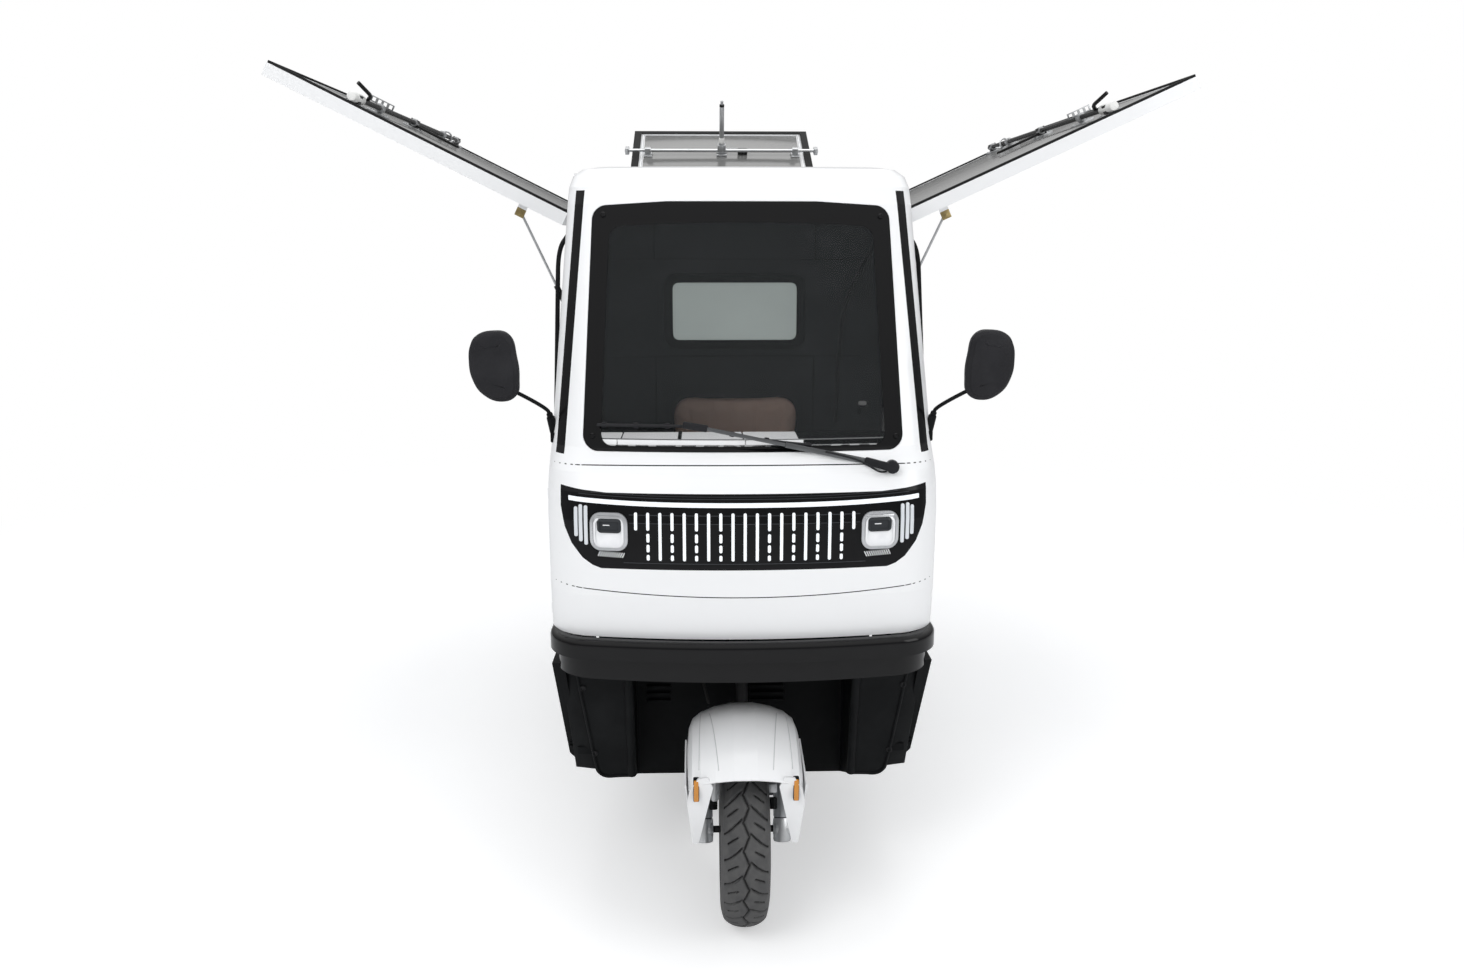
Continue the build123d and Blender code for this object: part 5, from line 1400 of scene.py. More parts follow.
darks.append(slab("pad_carrier", (-0.090, hub.y - 0.024, 0.330), (-0.070, hub.y + 0.020, 0.350), 0.004))
done(joined("fork_cast_ends", *cast), cast_aluminium, "steering")
done(joined("fork_shocks", *shocks), shock_grey, "steering")
done(joined("fork_brake_parts", *darks), black_plastic, "steering")
hose = tube(
    "brake_hose",
    [
        (-0.113, at(0.30), 0.70), (-0.112, at(0.24), 0.64), (-0.100, at(0.19), 0.60),
        (-0.090, at(0.17), 0.57)
    ],
    0.0042
)
done(hose, rubber, "steering")
print("fork parts", len(cast) + len(shocks) + len(darks))

# %% [markdown]
# The mudguard is pressed with two creases on each side, which run from its shoulders to its lip; each is
# drawn as a thin grey line, painted shade along the crease. An amber reflector is screwed on near each
# front corner. Seen from above, a ray finds the crown's height.

# %% Mudguard creases and reflectors
guard_faces = probe("front_mudguard")
# painted shade: the creases' grey is a colour for the shade that falls in them
crease_painted_shade = Finish("crease_painted_shade", (0.56, 0.565, 0.57), 0.4)
crease_painted_shade.give("Roughness", 0.35 + crease_painted_shade.noise(0.02, 2.0) * 0.2)
slots[crease_painted_shade] = "white_paint"


def guard_top(x, y):
    """The mudguard's surface below a point."""
    return guard_faces.ray_cast(Vector((x, y, 1.0)), Vector((0, 0, -1)))[0]


creases = []
for side in (-1, 1):
    for start, end in (((0.0890, 0.120), (0.0675, -0.104)), ((0.1130, 0.148), (0.1165, -0.082))):
        points = []
        for index in range(13):
            share = index / 12
            x = side * (start[0] + (end[0] - start[0]) * share)
            found = guard_top(x, at(start[1] + (end[1] - start[1]) * share))
            if found is not None:
                points.append(found + Vector((0, 0, -0.0002)))
        creases.append(tube("crease", points, 0.0013, None, 2))
done(joined("mudguard_creases", *creases), crease_painted_shade, "steering")
reflectors, rims = [], []
for side in (-1, 1):
    x, z = side * 0.1235, 0.4630
    spot = guard_faces.ray_cast(Vector((x, at(-0.4), z)), Vector((0, 1, 0)))[0]
    face = spot.y if spot is not None else at(-0.1139)
    for parts, wide, high, back, lift in (
        (rims, 0.0145, 0.0600, 0.012, -0.0035), (reflectors, 0.0115, 0.0560, 0.0, -0.0075)
    ):
        piece = plate("reflector", x, z, wide, high, 0.0030, back, lift, 0.0012)
        piece.data.transform(Matrix.Translation((0, face, 0)))
        parts.append(piece)
done(joined("side_reflectors", *reflectors), amber, "steering")
done(joined("side_reflector_bases", *rims), black_plastic, "steering")
print("creases", len(creases))

# %% [markdown]
# Below the bumper hangs the raked black apron. Real sheets are never bare edges: this one has a rolled
# bead along its outline, flanges that reach back to the side sills, soft corners where it turns into the
# wheel well, domed screws at its corners, and louvres in the wall behind the wheel.

# %% Apron flanges, beads, screws and louvres
APRON_TOP, APRON_LOW = (0.446, 0.140, 0.6965), (0.400, 0.214, 0.338)
WELL_HALF = 0.300


def apron_point(share, inset=0.0, lift=0.0):
    """A point on the apron's outer edge, share 0 at the top and 1 at the bottom."""
    x, depth, z = (a + (b - a) * share for a, b in zip(APRON_TOP, APRON_LOW))
    return Vector((x - inset, at(depth - lift), z))


beads, flanges = [], []
for side in (-1, 1):
    mirror = Matrix.Scale(side, 4, (1, 0, 0))
    edge = [apron_point(share, 0.004, 0.001) for share in (0, 0.3, 0.6, 0.90)]
    corner = [apron_point(0.975, 0.010, 0.001), apron_point(1, 0.030, 0.001)]
    low = [Vector((x, at(APRON_LOW[1] - 0.001), APRON_LOW[2] + 0.003)) for x in (0.345, WELL_HALF + 0.006)]
    beads.append(tube("bead", edge + corner + low, 0.0042, mirror, 3))
    fold_x = side * (WELL_HALF + 0.004)
    fold_top = (fold_x, at(APRON_TOP[1] + 0.004), APRON_TOP[2])
    fold_low = (fold_x, at(APRON_LOW[1] + 0.004), APRON_LOW[2] + 0.004)
    beads.append(bar("fold", fold_top, fold_low, 0.0130, 28))
    flange = slab("flange", (0, 0, 0), (1, 1, 1), 0)
    for vertex in flange.data.vertices:
        across, back, up = vertex.co
        inner = 0.436 * up + 0.386 * (1 - up)
        outer = 0.486 * up + 0.462 * (1 - up)
        depth = 0.156 * up + 0.236 * (1 - up)
        z = 0.6965 * up + 0.3475 * (1 - up)
        vertex.co = (
            side * (inner + (outer - inner) * across), at(depth + 0.006 * back + 0.020 * across), z
        )
    pick(flange)
    bpy.ops.object.mode_set(mode="EDIT")
    bpy.ops.mesh.select_all(action="SELECT")
    bpy.ops.mesh.normals_make_consistent(inside=False)
    calm()
    use(flange, "BEVEL", width=0.0015, segments=2, limit_method="ANGLE")
    flanges.append(flange)
    for index in range(3):
        z = 0.405 + index * 0.010
        flanges.append(
            slab(
                "slot", (side * 0.4705 - 0.010, at(0.262), z),
                (side * 0.4705 + 0.010, at(0.275), z + 0.004), 0.001
            )
        )
done(joined("apron_beads", *beads), black_plastic)
done(joined("apron_flanges", *flanges), black_plastic)
apron_screws = []
slope = (APRON_LOW[1] - APRON_TOP[1]) / (APRON_TOP[2] - APRON_LOW[2])
for x, depth, z in (
    (-0.4248, 0.1547, 0.6243), (-0.4024, 0.1975, 0.4167), (0.4301, 0.1542, 0.6266), (0.4058, 0.1972, 0.4186)
):
    apron_screws.append(screw("screw", (x, at(depth - 0.0005), z), (0, -1, -slope), 0.0080, 0.0035))
done(joined("apron_screws", *apron_screws), chassis_steel)
louvres = [
    slab("louvre", (0.030, at(0.410), 0.470 + i * 0.022), (0.130, at(0.4195), 0.480 + i * 0.022), 0.003)
    for i in range(8)
]
louvres += [
    slab("louvre", (-0.270, at(0.410), 0.470 + i * 0.022), (-0.200, at(0.4195), 0.480 + i * 0.022), 0.003)
    for i in range(8)
]
done(joined("well_louvres", *louvres), black_plastic)
print("apron parts", len(beads), len(flanges), "screws", len(apron_screws))

# %% [markdown]
# The mirrors are moulded shells on thin bent stems. The shell's outline is a smooth closed curve
# through a few measured points, given a rounded thickness, then domed to the front by two insets.
# The glass sits in its back. The whole of it stands in for the plain plates of the CAD model.

# %% Mirrors
mirror_glass = Finish("mirror_glass", (0.86, 0.88, 0.90), 0.03, metallic=1.0)
mirror_glass.give("Roughness", 0.02 + mirror_glass.noise(0.08, 3.0) * 0.03)
slots[mirror_glass] = "black_plastic"
MIRROR_X, MIRROR_D, MIRROR_Z = 0.622, 0.150, 1.482
# outward, up
MIRROR_EDGE = (
    (0.041, 0.074), (0.000, 0.087), (-0.040, 0.078), (-0.058, 0.022), (-0.062, -0.034), (-0.054, -0.074),
    (-0.019, -0.090), (0.028, -0.073), (0.054, -0.034), (0.061, 0.016), (0.056, 0.050),
)


def curved_plate(name, points, near, far, round_edge, shrink=0.0):
    """A plate in the XZ plane with a smooth closed outline and rounded edges, between two places on Y."""
    data = bpy.data.curves.new(name, "CURVE")
    data.dimensions = "2D"
    data.fill_mode = "BOTH"
    data.extrude = (far - near) / 2 - round_edge
    data.bevel_depth = round_edge
    data.bevel_resolution = 3
    data.offset = -round_edge - shrink
    data.resolution_u = 8
    line = data.splines.new("BEZIER")
    line.bezier_points.add(len(points) - 1)
    for spot, (x, z) in zip(line.bezier_points, points):
        spot.co = (x, z, 0)
        spot.handle_left_type = spot.handle_right_type = "AUTO"
    line.use_cyclic_u = True
    made = bpy.data.objects.new(name, data)
    bpy.context.collection.objects.link(made)
    pick(made)
    bpy.ops.object.convert(target="MESH")
    made = take(name, Matrix.Translation((0, (near + far) / 2, 0)) @ Matrix.Rotation(math.pi / 2, 4, "X"))
    pick(made)
    bpy.ops.object.mode_set(mode="EDIT")
    bpy.ops.mesh.select_all(action="SELECT")
    bpy.ops.mesh.remove_doubles(threshold=0.00002)
    bpy.ops.mesh.normals_make_consistent(inside=False)
    calm()
    return made


shells, stems, glasses = [], [], []
for side in (-1, 1):
    outline = [(side * (MIRROR_X + out), MIRROR_Z + up) for out, up in MIRROR_EDGE]
    front_y, back_y = at(MIRROR_D - 0.010), at(MIRROR_D + 0.022)
    shell = curved_plate("shell", outline, front_y, back_y, 0.0115)
    for border, depth in ((0.010, -0.0055), (0.014, -0.0030), (0.012, -0.0012)):
        sink(shell, lambda centre, normal: normal.y < -0.95 and centre.y < front_y + 0.001, border, depth)
        front_y += depth
    shells.append(shell)
    glasses.append(curved_plate("glass", outline, back_y - 0.001, back_y + 0.0012, 0.0004, 0.009))
    foot = (side * 0.486, at(0.216), MIRROR_Z - 0.180)
    boot = (side * 0.493, at(0.206), MIRROR_Z - 0.136)
    elbow = (side * 0.500, at(0.196), MIRROR_Z - 0.110)
    joint = (side * (MIRROR_X - 0.020), at(MIRROR_D + 0.006), MIRROR_Z - 0.050)
    stems.append(tube("stem", [foot, boot, elbow, joint], 0.0050))
    stems.append(bar("boot", foot, boot, 0.0105, 24, 0.003))
    stems.append(
        bar("boot_ring", boot, [a + (b - a) * 0.35 for a, b in zip(boot, elbow)], 0.0080, 24, 0.002)
    )
    calm()
    bpy.ops.mesh.primitive_uv_sphere_add(segments=24, ring_count=14, radius=0.0105, location=joint)
    stems.append(take("joint"))
    x0, x1 = sorted((side * 0.474, side * 0.494))
    stems.append(
        slab("bracket", (x0, at(0.198), MIRROR_Z - 0.203), (x1, at(0.234), MIRROR_Z - 0.177), 0.003)
    )
mirror_shells = done(joined("mirror_shells", *shells), mirror_plastic, "chassis", 50)
done(joined("mirror_stems", *stems), black_plastic)
done(joined("mirror_glasses", *glasses), mirror_glass)
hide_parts("mirrors")
print("mirror faces", len(mirror_shells.data.polygons))
# %% [markdown]
# The wiper's arm is a pressed channel on a domed pivot, with a clip at the blade. The blade is a spine
# with claws and a rubber lip, all following the glass. A washer hose loops out of the nose beside it.

# %% Wiper
arm_grey = metal("arm_grey", (0.16, 0.165, 0.17), 0.34)
slots[arm_grey] = "black_plastic"
PIVOT, CLIP, TIP, END = (0.368, 1.238), (-0.116, 1.336), (-0.366, 1.337), (0.168, 1.290)


def on_nose(spot, lift):
    x, z = spot
    return Vector((x, ahead(x, z) - lift, z))


def strip(name, start, end, wide, thick, edge=0.0):
    """A flat strip between two points, its broad side to the front."""
    line = end - start
    along = line.normalized()
    back = Vector((0, 1, 0))
    up = back.cross(along).normalized()
    back = along.cross(up)
    turned = Matrix((along, back, up)).transposed().to_4x4()
    turned.translation = start
    return slab(name, (0, -thick / 2, -wide / 2), (line.length, thick / 2, wide / 2), edge, turned)


pivot = on_nose(PIVOT, 0.0)
arm_parts, blade_parts = [], []
blade_parts.append(bar("cap", pivot, pivot - Vector((0, 0.030, 0)), 0.0165, 32, 0.006))
blade_parts.append(
    strip(
        "shoe", pivot - Vector((0.006, 0.025, 0)),
        pivot.lerp(on_nose(CLIP, 0.024), 0.14) - Vector((0, 0.006, 0)), 0.020, 0.013, 0.004
    )
)
shoulder = pivot.lerp(on_nose(CLIP, 0.024), 0.13) - Vector((0, 0.006, 0))
middle = pivot.lerp(on_nose(CLIP, 0.030), 0.55) - Vector((0, 0.004, 0))
arm_parts.append(strip("channel", shoulder, middle, 0.0135, 0.0075, 0.002))
arm_parts.append(strip("channel", middle, on_nose(CLIP, 0.026), 0.0095, 0.0065, 0.002))
blade_parts.append(
    strip("clip", on_nose((-0.090, 1.331), 0.022), on_nose((-0.152, 1.340), 0.021), 0.0170, 0.0150, 0.004)
)


def along_blade(share):
    """A place on the glass, from the tip through the clip to the other end."""
    if share < 0.47:
        part = share / 0.47
        return (TIP[0] + (CLIP[0] - TIP[0]) * part, TIP[1] + (CLIP[1] - TIP[1]) * part)
    part = (share - 0.47) / 0.53
    return (
        CLIP[0] + (END[0] - CLIP[0]) * part,
        CLIP[1] + (END[1] - CLIP[1]) * part - 0.006 * math.sin(math.pi * part)
    )


blade_parts.append(tube("spine", [on_nose(along_blade(i / 16), 0.0165) for i in range(17)], 0.0038))
lip = [
    strip(
        "lip", on_nose(along_blade(i / 16), 0.006), on_nose(along_blade((i + 1) / 16), 0.006), 0.0028,
        0.0150
    )
    for i in range(16)
]
blade_parts.extend(lip)
for share in (0.02, 0.17, 0.32, 0.62, 0.78, 0.97):
    spot = along_blade(share)
    ahead_spot = along_blade(share + 0.022)
    blade_parts.append(
        strip("claw", on_nose(spot, 0.0125), on_nose(ahead_spot, 0.0125), 0.0125, 0.0100, 0.0015)
    )
hose_points = [
    on_nose((0.352, 1.226), 0.004), on_nose((0.335, 1.228), 0.030), on_nose((0.305, 1.246), 0.034),
    on_nose((0.27, 1.262), 0.030), on_nose((0.20, 1.277), 0.032)
]
blade_parts.append(tube("hose", hose_points, 0.0026))
wiper_blade = done(joined("wiper_blade", *blade_parts), mirror_plastic)
done(joined("wiper_arm", *arm_parts), arm_grey)
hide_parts("wiper")
print("wiper parts", len(arm_parts) + len(blade_parts))

# %% [markdown]
# Behind the foot of the windscreen lies a pale dash pad in three pieces with a strap over it, and a dark
# one on the driver's right. The pale pad glows a little, which is painted light. A grab rail bends down
# inside the right door, the lining of the rear wall is sewn in panels, and its window sits in a rubber
# frame with a small catch beside it.

# %% Cab interior
pad_painted_glow = Finish("pad_painted_glow", (0.72, 0.73, 0.74), 0.5)
pad_painted_glow.give(
    "Emission Color", pad_painted_glow.mix(pad_painted_glow.noise(0.05, 2.0), (0.86, 0.87, 0.88), (0.95, 0.95, 0.96))
)
# painted light: the pale pad glows, though it is no lamp
pad_painted_glow.give("Emission Strength", 0.75)
pad_painted_glow.give(
    "Base Color", pad_painted_glow.mix(pad_painted_glow.noise(0.03, 3.0), (0.66, 0.67, 0.68), (0.78, 0.79, 0.80))
)
slots[pad_painted_glow] = "grey_lining"


def sill_strip(name, low_x, high_x):
    """A strip between the glass and the shell's land under it."""
    piece = slab(name, (low_x, 0.0062, 1.2745), (high_x, 0.0068, 1.3000), 0)
    cuts(piece, 0.02, 0)
    for vertex in piece.data.vertices:
        vertex.co.y += ahead(vertex.co.x, 1.288)
    return piece


def dash_pad(name, low_x, high_x, low_z, high_z):
    """A flat pad whose front edge follows the glass."""
    pad = slab(name, (low_x, 0, low_z), (high_x, 1, high_z), 0)
    cuts(pad, 0.02, 0)
    for vertex in pad.data.vertices:
        near = ahead(vertex.co.x, 1.295) + 0.014
        vertex.co.y = near + (at(0.343) - near) * vertex.co.y
    use(pad, "BEVEL", width=0.0015, segments=2, limit_method="ANGLE", angle_limit=1.0)
    return pad


seam_spots = (-0.392, -0.317, 0.004, 0.150)
pads = [dash_pad("pad", a + 0.0022, b - 0.0022, 1.2768, 1.2815) for a, b in zip(seam_spots, seam_spots[1:])]
pads += [sill_strip("sill", a + 0.0016, b - 0.0016) for a, b in zip(seam_spots, seam_spots[1:])]
done(joined("dash_pads", *pads), pad_painted_glow)
dark_pads = [dash_pad("pad", 0.150, 0.392, 1.2768, 1.2812), dash_pad("pad", -0.392, 0.150, 1.2764, 1.2776)]
dark_pads += [sill_strip("sill", 0.1505, 0.392)]
strap = dash_pad("pad", -0.168, -0.158, 1.2817, 1.2838)
done(joined("dash_pads_dark", *dark_pads, strap), black_plastic)

WALL_Y = at(0.896)
wall_parts = []
WELTS = (
    (-0.40, 1.4300, 0.40, 1.4330), (-0.40, 1.7300, 0.40, 1.7330), (-0.2515, 1.10, -0.2485, 1.43),
    (0.2485, 1.10, 0.2515, 1.43), (-0.2515, 1.73, -0.2485, 1.86), (0.2485, 1.73, 0.2515, 1.86)
)
for left, low, right, high in WELTS:
    wall_parts.append(slab("welt", (left, WALL_Y - 0.0022, low), (right, WALL_Y + 0.001, high), 0.0009))
frame_ring = plate("frame", 0, 1.572, 0.444, 0.234, 0.040, 0.002, -0.012, 0.004)
cut_out(frame_ring, plate("hole", 0, 1.572, 0.388, 0.178, 0.020, 0.03, -0.03))
frame_ring.data.transform(Matrix.Translation((0, WALL_Y, 0)))
wall_parts.append(frame_ring)
rail_y = at(0.60)
rail = tube(
    "rail",
    [
        (0.420, rail_y, 1.860), (0.405, rail_y, 1.810), (0.318, rail_y, 1.640), (0.300, rail_y, 1.560),
        (0.292, at(0.62), 1.400), (0.292, at(0.64), 1.262)
    ],
    0.0065
)
wall_parts.append(rail)
wall_parts.append(slab("lever", (0.395, WALL_Y - 0.020, 1.246), (0.403, WALL_Y - 0.004, 1.268), 0.002))
done(joined("wall_trim", *wall_parts), rubber)
tab = plate("tab", 0.409, 1.281, 0.026, 0.014, 0.006, 0.001, -0.004, 0.001)
tab.data.transform(Matrix.Translation((0, WALL_Y, 0)))
done(tab, white_plastic).name = "wall_tab"
print("cab trim", len(wall_parts))

# %% [markdown]
# The handlebar carries what a rider uses: rubber grips with ribs, two brake levers, a switch block and
# a small round instrument. Only its top shows through the glass, but it all shows with a door open.

# %% Handlebar fittings
BAR_UP, BAR_HALF = 0.868 + 0.016, 0.285
bar_parts = []
for side in (-1, 1):
    inner = on_fork(side * (BAR_HALF - 0.092), BAR_UP)
    outer = on_fork(side * BAR_HALF, BAR_UP) + Vector((0, 0.040, 0))
    way = (outer - inner).normalized()
    for index in range(12):
        spot = outer - way * (0.058 - index * 0.0062)
        bar_parts.append(bar("rib", spot, spot + way * 0.0030, 0.0178, 24, 0.0008))
    bar_parts.append(bar("switch", outer - way * 0.104, outer - way * 0.070, 0.0205, 24, 0.004))
    lever_start = outer - way * 0.088 + Vector((0, -0.030, 0.004))
    bar_parts.append(
        tube(
            "lever",
            [
                lever_start, lever_start + way * 0.04 + Vector((0, -0.022, 0)),
                lever_start + way * 0.12 + Vector((0, -0.012, 0))
            ],
            0.0046
        )
    )
clock = on_fork(0, BAR_UP + 0.030)
bar_parts.append(bar("clock", clock, clock + UP * 0.030, 0.043, 40, 0.006))
done(joined("handlebar_fittings", *bar_parts), rubber, "steering")
print("handlebar parts", len(bar_parts))
# %% [markdown]
# Seat cushions are foam under sewn vinyl. The CAD cushion is copied, given an even mesh, and blown up a
# little by a cloth simulation pinned to nothing, so its faces crown and its edges stay soft. Then two
# sewn channels are pressed into its face. The cover may stand out a little more than the plain solid.

# %% Seat cushion and backrest
def cushion(name, node, shrink=0.985):
    source = bpy.data.objects[node]
    made = source.copy()
    made.data = source.data.copy()
    made.name = made.data.name = name
    bpy.context.collection.objects.link(made)
    low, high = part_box(node)
    middle = (Vector(low) + Vector(high)) / 2
    made.data.transform(Matrix.Translation(middle) @ Matrix.Scale(shrink, 4) @ Matrix.Translation(-middle))
    pick(made)
    made.data.remesh_voxel_size = 0.0055
    bpy.ops.object.voxel_remesh()
    start = [vertex.co.copy() for vertex in made.data.vertices]
    cloth = made.modifiers.new("cover", "CLOTH")
    cloth.settings.use_pressure = True
    cloth.settings.uniform_pressure_force = 4.0
    cloth.settings.effector_weights.gravity = 0
    for frame_number in range(1, 21):
        scene.frame_set(frame_number)
    pick(made)
    bpy.ops.object.modifier_apply(modifier="cover")
    scene.frame_set(1)
    for vertex, old in zip(made.data.vertices, start):
        step = vertex.co - old
        if step.length > 0.010:
            vertex.co = old + step.normalized() * 0.010
    use(made, "SMOOTH", iterations=6, factor=0.5)
    return made, middle, Vector(low), Vector(high)


cushion_cover, middle, low, high = cushion("cushion_cover", "seat_cushion")
for vertex in cushion_cover.data.vertices:
    across = abs(vertex.co.x - middle.x)
    if vertex.co.z > high.z - 0.03:
        for channel in (0.066, 0.150):
            vertex.co.z -= 0.0045 * math.exp(-((across - channel) / 0.0055) ** 2)
    if vertex.co.z < low.z + 0.0005:
        vertex.co.z = low.z + 0.0005
done(cushion_cover, seat_leather, "chassis", 60)
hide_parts("seat_cushion")

back_cover, middle, low, high = cushion("backrest_cover", "seat_backrest")
for vertex in back_cover.data.vertices:
    across = abs(vertex.co.x - middle.x)
    if vertex.co.y < low.y + 0.02:
        for channel in (0.066, 0.145):
            vertex.co.y += 0.0045 * math.exp(-((across - channel) / 0.0055) ** 2)
    if vertex.co.y > high.y - 0.0005:
        vertex.co.y = high.y - 0.0005
done(back_cover, seat_leather, "chassis", 60)
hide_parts("seat_backrest")
print("cushion points", len(cushion_cover.data.vertices), len(back_cover.data.vertices))
# %% [markdown]
# The cab doors: a black rubber section round each window, a handle with its key cylinder, and capped
# hinges. The side of the cab leans in towards the roof, so a ray from the side finds its surface.

# %% Door trim
side_faces = probe("cab_door_left", "cab_door_right", "cab_shell", "door_glass_left", "door_glass_right")
WINDOW = ((0.332, 1.215), (0.790, 1.215), (0.790, 1.806), (0.520, 1.806), (0.332, 1.276))
HANDLE_D, HANDLE_Z, HINGE_D, HINGES = 0.757, 1.120, 0.293, (0.814, 1.132)


def beside(side, depth, z):
    """X of the cab's side seen from outside."""
    found = side_faces.ray_cast(Vector((side * 1.2, at(depth), z)), Vector((-side, 0, 0)))[0]
    return found.x if found is not None else side * 0.498


for side, name in ((-1, "cab_door_left"), (1, "cab_door_right")):
    points = []
    for (d0, z0), (d1, z1) in zip(WINDOW, WINDOW[1:] + WINDOW[:1]):
        for share in (0.08, 0.3, 0.5, 0.7, 0.92):
            depth, z = d0 + (d1 - d0) * share, z0 + (z1 - z0) * share
            points.append((beside(side, depth, z) - side * 0.0015, at(depth), z))
    rubber_ring = tube("window_rubber", points + points[:1], 0.0065)
    face = beside(side, HANDLE_D, HANDLE_Z + 0.05)
    x0, x1 = sorted((face - side * 0.001, face + side * 0.005))
    base = slab(
        "base", (x0, at(HANDLE_D - 0.072), HANDLE_Z - 0.026), (x1, at(HANDLE_D + 0.066), HANDLE_Z + 0.026),
        0.004
    )
    x0, x1 = sorted((face + side * 0.006, face + side * 0.017))
    lever = slab(
        "lever", (x0, at(HANDLE_D - 0.060), HANDLE_Z - 0.016), (x1, at(HANDLE_D + 0.052), HANDLE_Z + 0.016),
        0.005
    )
    lock = bar(
        "lock", (face, at(HANDLE_D - 0.050), HANDLE_Z - 0.048),
        (face + side * 0.005, at(HANDLE_D - 0.050), HANDLE_Z - 0.048), 0.012, 28, 0.001
    )
    caps = []
    for z in HINGES:
        face = beside(side, HINGE_D + 0.06, z)
        x0, x1 = sorted((face - side * 0.001, face + side * 0.0055))
        caps.append(
            slab("cap", (x0, at(HINGE_D - 0.022), z - 0.017), (x1, at(HINGE_D + 0.024), z + 0.017), 0.002)
        )
        for off in (-0.010, 0.012):
            start = Vector((x1 if side > 0 else x0, at(HINGE_D + off), z))
            caps.append(bar("bolt", start, start + Vector((side * 0.003, 0, 0)), 0.005, 6, 0.0008))
    done(joined(f"{name}_trim", rubber_ring, base, lever, *caps), black_plastic, name)
    done(lock, zinc, name).name = f"{name}_key_cylinder"
print("door trim on 2 doors")

# %% [markdown]
# The box's boards are riveted sheets, with the same low rivet repeated along each edge.
# Amber reflectors stand on the sides and a rubber strip closes the lower edge.

# %% Rivets and side reflectors of the box


def rivet(place, way, radius=0.0045):
    return bar("rivet", place, Vector(place) + Vector(way) * 0.0018, radius, 12, 0.0008)


box_low, box_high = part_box("box_sides")
rivets, ambers, strips = [], [], []
for side in (-1, 1):
    face = box_high[0] if side > 0 else box_low[0]
    for z in (box_low[2] + 0.022, box_high[2] - 0.022):
        for index in range(16):
            y = box_low[1] + 0.04 + (box_high[1] - box_low[1] - 0.08) * index / 15
            rivets.append(rivet((face - side * 0.0004, y, z), (side, 0, 0)))
    x0, x1 = sorted((face - side * 0.001, face + side * 0.0045))
    for share in (0.2, 0.8):
        y = box_low[1] + (box_high[1] - box_low[1]) * share
        ambers.append(
            slab(
                "reflector", (x0, y - 0.045, box_low[2] + 0.075), (x1, y + 0.045, box_low[2] + 0.110), 0.002
            )
        )
    x0, x1 = sorted((face - side * 0.012, face + side * 0.002))
    strips.append(
        slab(
            "strip", (x0, box_low[1] + 0.004, box_low[2] - 0.010),
            (x1, box_high[1] - 0.004, box_low[2] + 0.004), 0.002
        )
    )
done(joined("box_rivets", *rivets), white_plastic)
done(joined("box_side_reflectors", *ambers), amber)
done(joined("box_edge_strips", *strips), rubber)
print("rivets", len(rivets))

# %% [markdown]
# At the rear: lamps with amber and clear fields in a black bezel, round red reflectors, ribbed pads on
# the step, and mud flaps behind the wheels.

# %% Rear end
LAMP_IN, LAMP_OUT = 0.390, 0.480
REFLECTOR_X, REFLECTOR_Z = 0.330, 0.640
WHEEL_X, STEP_Z = 0.400, 0.4855
lamp_low, lamp_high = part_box("tail_lamps")
rear_y = lamp_high[1]
bezels, reds, steps = [], [], []
clears, oranges = [], []
for side in (-1, 1):
    x0, x1 = sorted((side * LAMP_IN, side * LAMP_OUT))
    z0, z1 = lamp_low[2], lamp_high[2]
    edge, inset = 0.004, 0.006
    borders = (
        (x0 - edge, z0 - edge, x0 + edge, z1 + edge), (x1 - edge, z0 - edge, x1 + edge, z1 + edge),
        (x0, z0 - edge, x1, z0 + edge), (x0, z1 - edge, x1, z1 + edge),
        (x0, z0 + 0.044, x1, z0 + 0.047), (x0, z0 + 0.092, x1, z0 + 0.095)
    )
    for left, low, right, high in borders:
        bezels.append(slab("bezel", (left, rear_y - 0.012, low), (right, rear_y + 0.002, high), 0.0012))
    for fields, low, high in ((oranges, z0 + 0.098, z1 - inset), (clears, z0 + inset, z0 + 0.041)):
        near, far = (x0 + inset, rear_y - 0.002, low), (x1 - inset, rear_y + 0.0012, high)
        fields.append(slab("field", near, far, 0.001))
    x = side * REFLECTOR_X
    foot = (x, rear_y - 0.016, REFLECTOR_Z)
    reds.append(bar("reflector", foot, (x, rear_y - 0.008, REFLECTOR_Z), 0.024, 32, 0.002))
    bezels.append(bar("reflector_ring", foot, (x, rear_y - 0.011, REFLECTOR_Z), 0.028, 32, 0.002))
    for index in range(9):
        x = side * (0.060 + index * 0.034)
        steps.append(
            slab("rib", (x - 0.010, at(2.484), STEP_Z), (x + 0.010, at(2.524), STEP_Z + 0.003), 0.001)
        )
    middle = side * WHEEL_X
    steps.append(
        slab("flap", (middle - 0.078, at(2.283), 0.120), (middle + 0.078, at(2.289), 0.330), 0.002)
    )
    for off in (-0.055, 0.0, 0.055):
        x = middle + off
        steps.append(bar("flap_bolt", (x, at(2.280), 0.318), (x, at(2.293), 0.318), 0.006, 6, 0.001))
done(joined("rear_bezels", *bezels), black_plastic)
done(joined("rear_red_reflectors", *reds), lamp_red)
done(joined("rear_amber_fields", *oranges), amber)
done(joined("rear_clear_fields", *clears), lamp_clear)
done(joined("rear_step_and_flaps", *steps), rubber)
print("rear pieces", len(bezels) + len(steps))

# %% [markdown]
# Underneath, the axle carries a finned motor, brake drums and shock absorbers, U-bolts hold the leaf
# springs, and the battery case has ribs and handles.

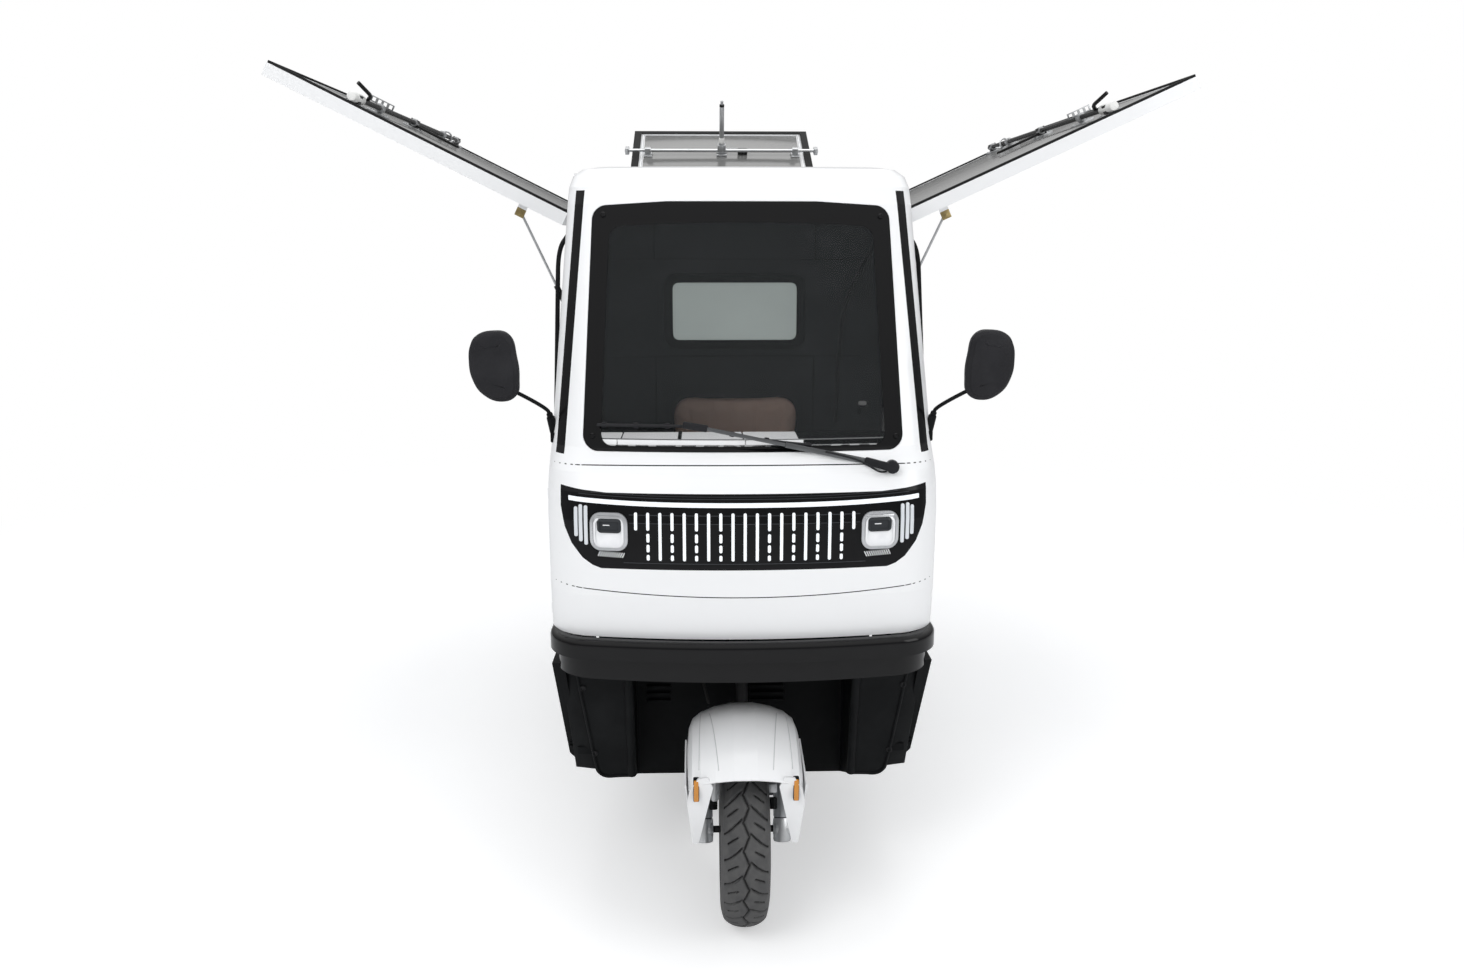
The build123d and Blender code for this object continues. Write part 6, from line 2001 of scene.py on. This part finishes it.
# %% Underside
AXLE_D, AXLE_Z, RAIL_X = 2.000, 0.246, 0.260
fins, drums, bolts = [], [], []
for index in range(9):
    x = -0.064 + index * 0.018
    fins.append(bar("fin", (x, at(AXLE_D), AXLE_Z), (x + 0.006, at(AXLE_D), AXLE_Z), 0.0975, 40, 0.001))
for index in range(7):
    x = 0.032 + index * 0.022
    fins.append(
        bar(
            "fin", (x, at(AXLE_D - 0.210), AXLE_Z + 0.020), (x + 0.006, at(AXLE_D - 0.210), AXLE_Z + 0.020),
            0.0885, 40, 0.001
        )
    )
for side in (-1, 1):
    x = side * 0.330
    drums.append(
        bar(
            "drum", (x - side * 0.036, at(AXLE_D), AXLE_Z), (x - side * 0.004, at(AXLE_D), AXLE_Z), 0.0920,
            48, 0.006
        )
    )
    drums.append(
        bar(
            "back_plate", (x - side * 0.042, at(AXLE_D), AXLE_Z), (x - side * 0.038, at(AXLE_D), AXLE_Z),
            0.0980, 48, 0.001
        )
    )
    for off in (-0.030, 0.030):
        top = RAIL_X * side
        bend = (
            (-0.031, 0.345), (-0.031, 0.215), (-0.020, 0.203), (0.020, 0.203), (0.031, 0.215),
            (0.031, 0.345)
        )
        bolts.append(tube("u_bolt", [(top + x, at(AXLE_D + off), z) for x, z in bend], 0.0048))
    bolts.append(
        slab(
            "spring_plate", (side * RAIL_X - 0.038, at(AXLE_D - 0.042), 0.322),
            (side * RAIL_X + 0.038, at(AXLE_D + 0.042), 0.330), 0.002
        )
    )
    shock_low, shock_high = (
        side * 0.205, at(AXLE_D + 0.050), 0.262
    ), (side * 0.215, at(AXLE_D + 0.150), 0.500)
    middle_low = [a + (b - a) * 0.52 for a, b in zip(shock_low, shock_high)]
    drums.append(bar("shock_body", shock_low, middle_low, 0.0200, 24, 0.003))
    bolts.append(bar("shock_rod", middle_low, shock_high, 0.0070, 16))
done(joined("motor_fins", *fins), shock_grey)
done(joined("brake_drums_and_shocks", *drums), chassis_steel)
done(joined("spring_bolts", *bolts), zinc)
case_low, case_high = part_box("battery_case")
case_parts = []
for index in range(9):
    y = case_low[1] + 0.03 + (case_high[1] - case_low[1] - 0.06) * index / 8
    for x, way in ((case_low[0], -1), (case_high[0], 1)):
        x0, x1 = sorted((x - way * 0.002, x + way * 0.005))
        case_parts.append(
            slab("rib", (x0, y - 0.006, case_low[2] + 0.020), (x1, y + 0.006, case_high[2] - 0.030), 0.0015)
        )
for way in (-1, 1):
    y = case_high[1] if way > 0 else case_low[1]
    bow = ((-0.06, 0), (-0.05, 0.022), (0.05, 0.022), (0.06, 0))
    case_parts.append(tube("handle", [(x, y + way * out, case_high[2] - 0.05) for x, out in bow], 0.006))
done(joined("battery_fittings", *case_parts), black_plastic)
print(
    "underside", len(fins) + len(drums) + len(bolts) + len(case_parts), "battery",
    [round(v, 3) for v in (*case_low, *case_high)]
)

# %% [markdown]
# The struts' feet swing on studs. Zinc plates carry the studs on the posts, so that the load has
# somewhere to go. A black seal runs down each post.

# %% Strut feet and box seals
feet, seals = [], []
FOOT_X, FOOT_Z, POST_OUT = 0.440, 1.371, 0.452
for side in (-1, 1):
    for depth in (0.957, 2.412):
        way = 1 if depth < 1.5 else -1
        y0, y1 = sorted((at(depth), at(depth + way * 0.0035)))
        feet.append(
            slab(
                "plate", (side * FOOT_X - 0.0115, y0, FOOT_Z - 0.030),
                (side * FOOT_X + 0.0115, y1, FOOT_Z + 0.030), 0.001
            )
        )
        spot = (side * FOOT_X, at(depth), FOOT_Z)
        feet.append(bar("collar", spot, (spot[0], at(depth + way * 0.010), spot[2]), 0.0085, 6, 0.001))
        for off in (-0.021, 0.021):
            feet.append(
                bar(
                    "bolt", (spot[0], at(depth), FOOT_Z + off),
                    (spot[0], at(depth + way * 0.0065), FOOT_Z + off), 0.0045, 6, 0.0006
                )
            )
    x = side * (POST_OUT + 0.0005)
    for depth in (0.9235, 2.4455):
        seals.append(
            slab(
                "seal", (min(x, x + side * 0.0035), at(depth - 0.004), 0.93),
                (max(x, x + side * 0.0035), at(depth + 0.004), 1.876), 0.0012
            )
        )
done(joined("strut_feet", *feet), yellow_zinc)
done(joined("box_opening_seals", *seals), rubber)
print("feet", len(feet))

# %% Sizes and the end
low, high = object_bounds()
boxes = {"cad": [list(cad_low), list(cad_high)], "visual": [list(low), list(high)]}
print(
    "grown by", [round(float(a - b), 4) for a, b in zip(cad_low, low)],
    [round(float(b - a), 4) for a, b in zip(cad_high, high)]
)
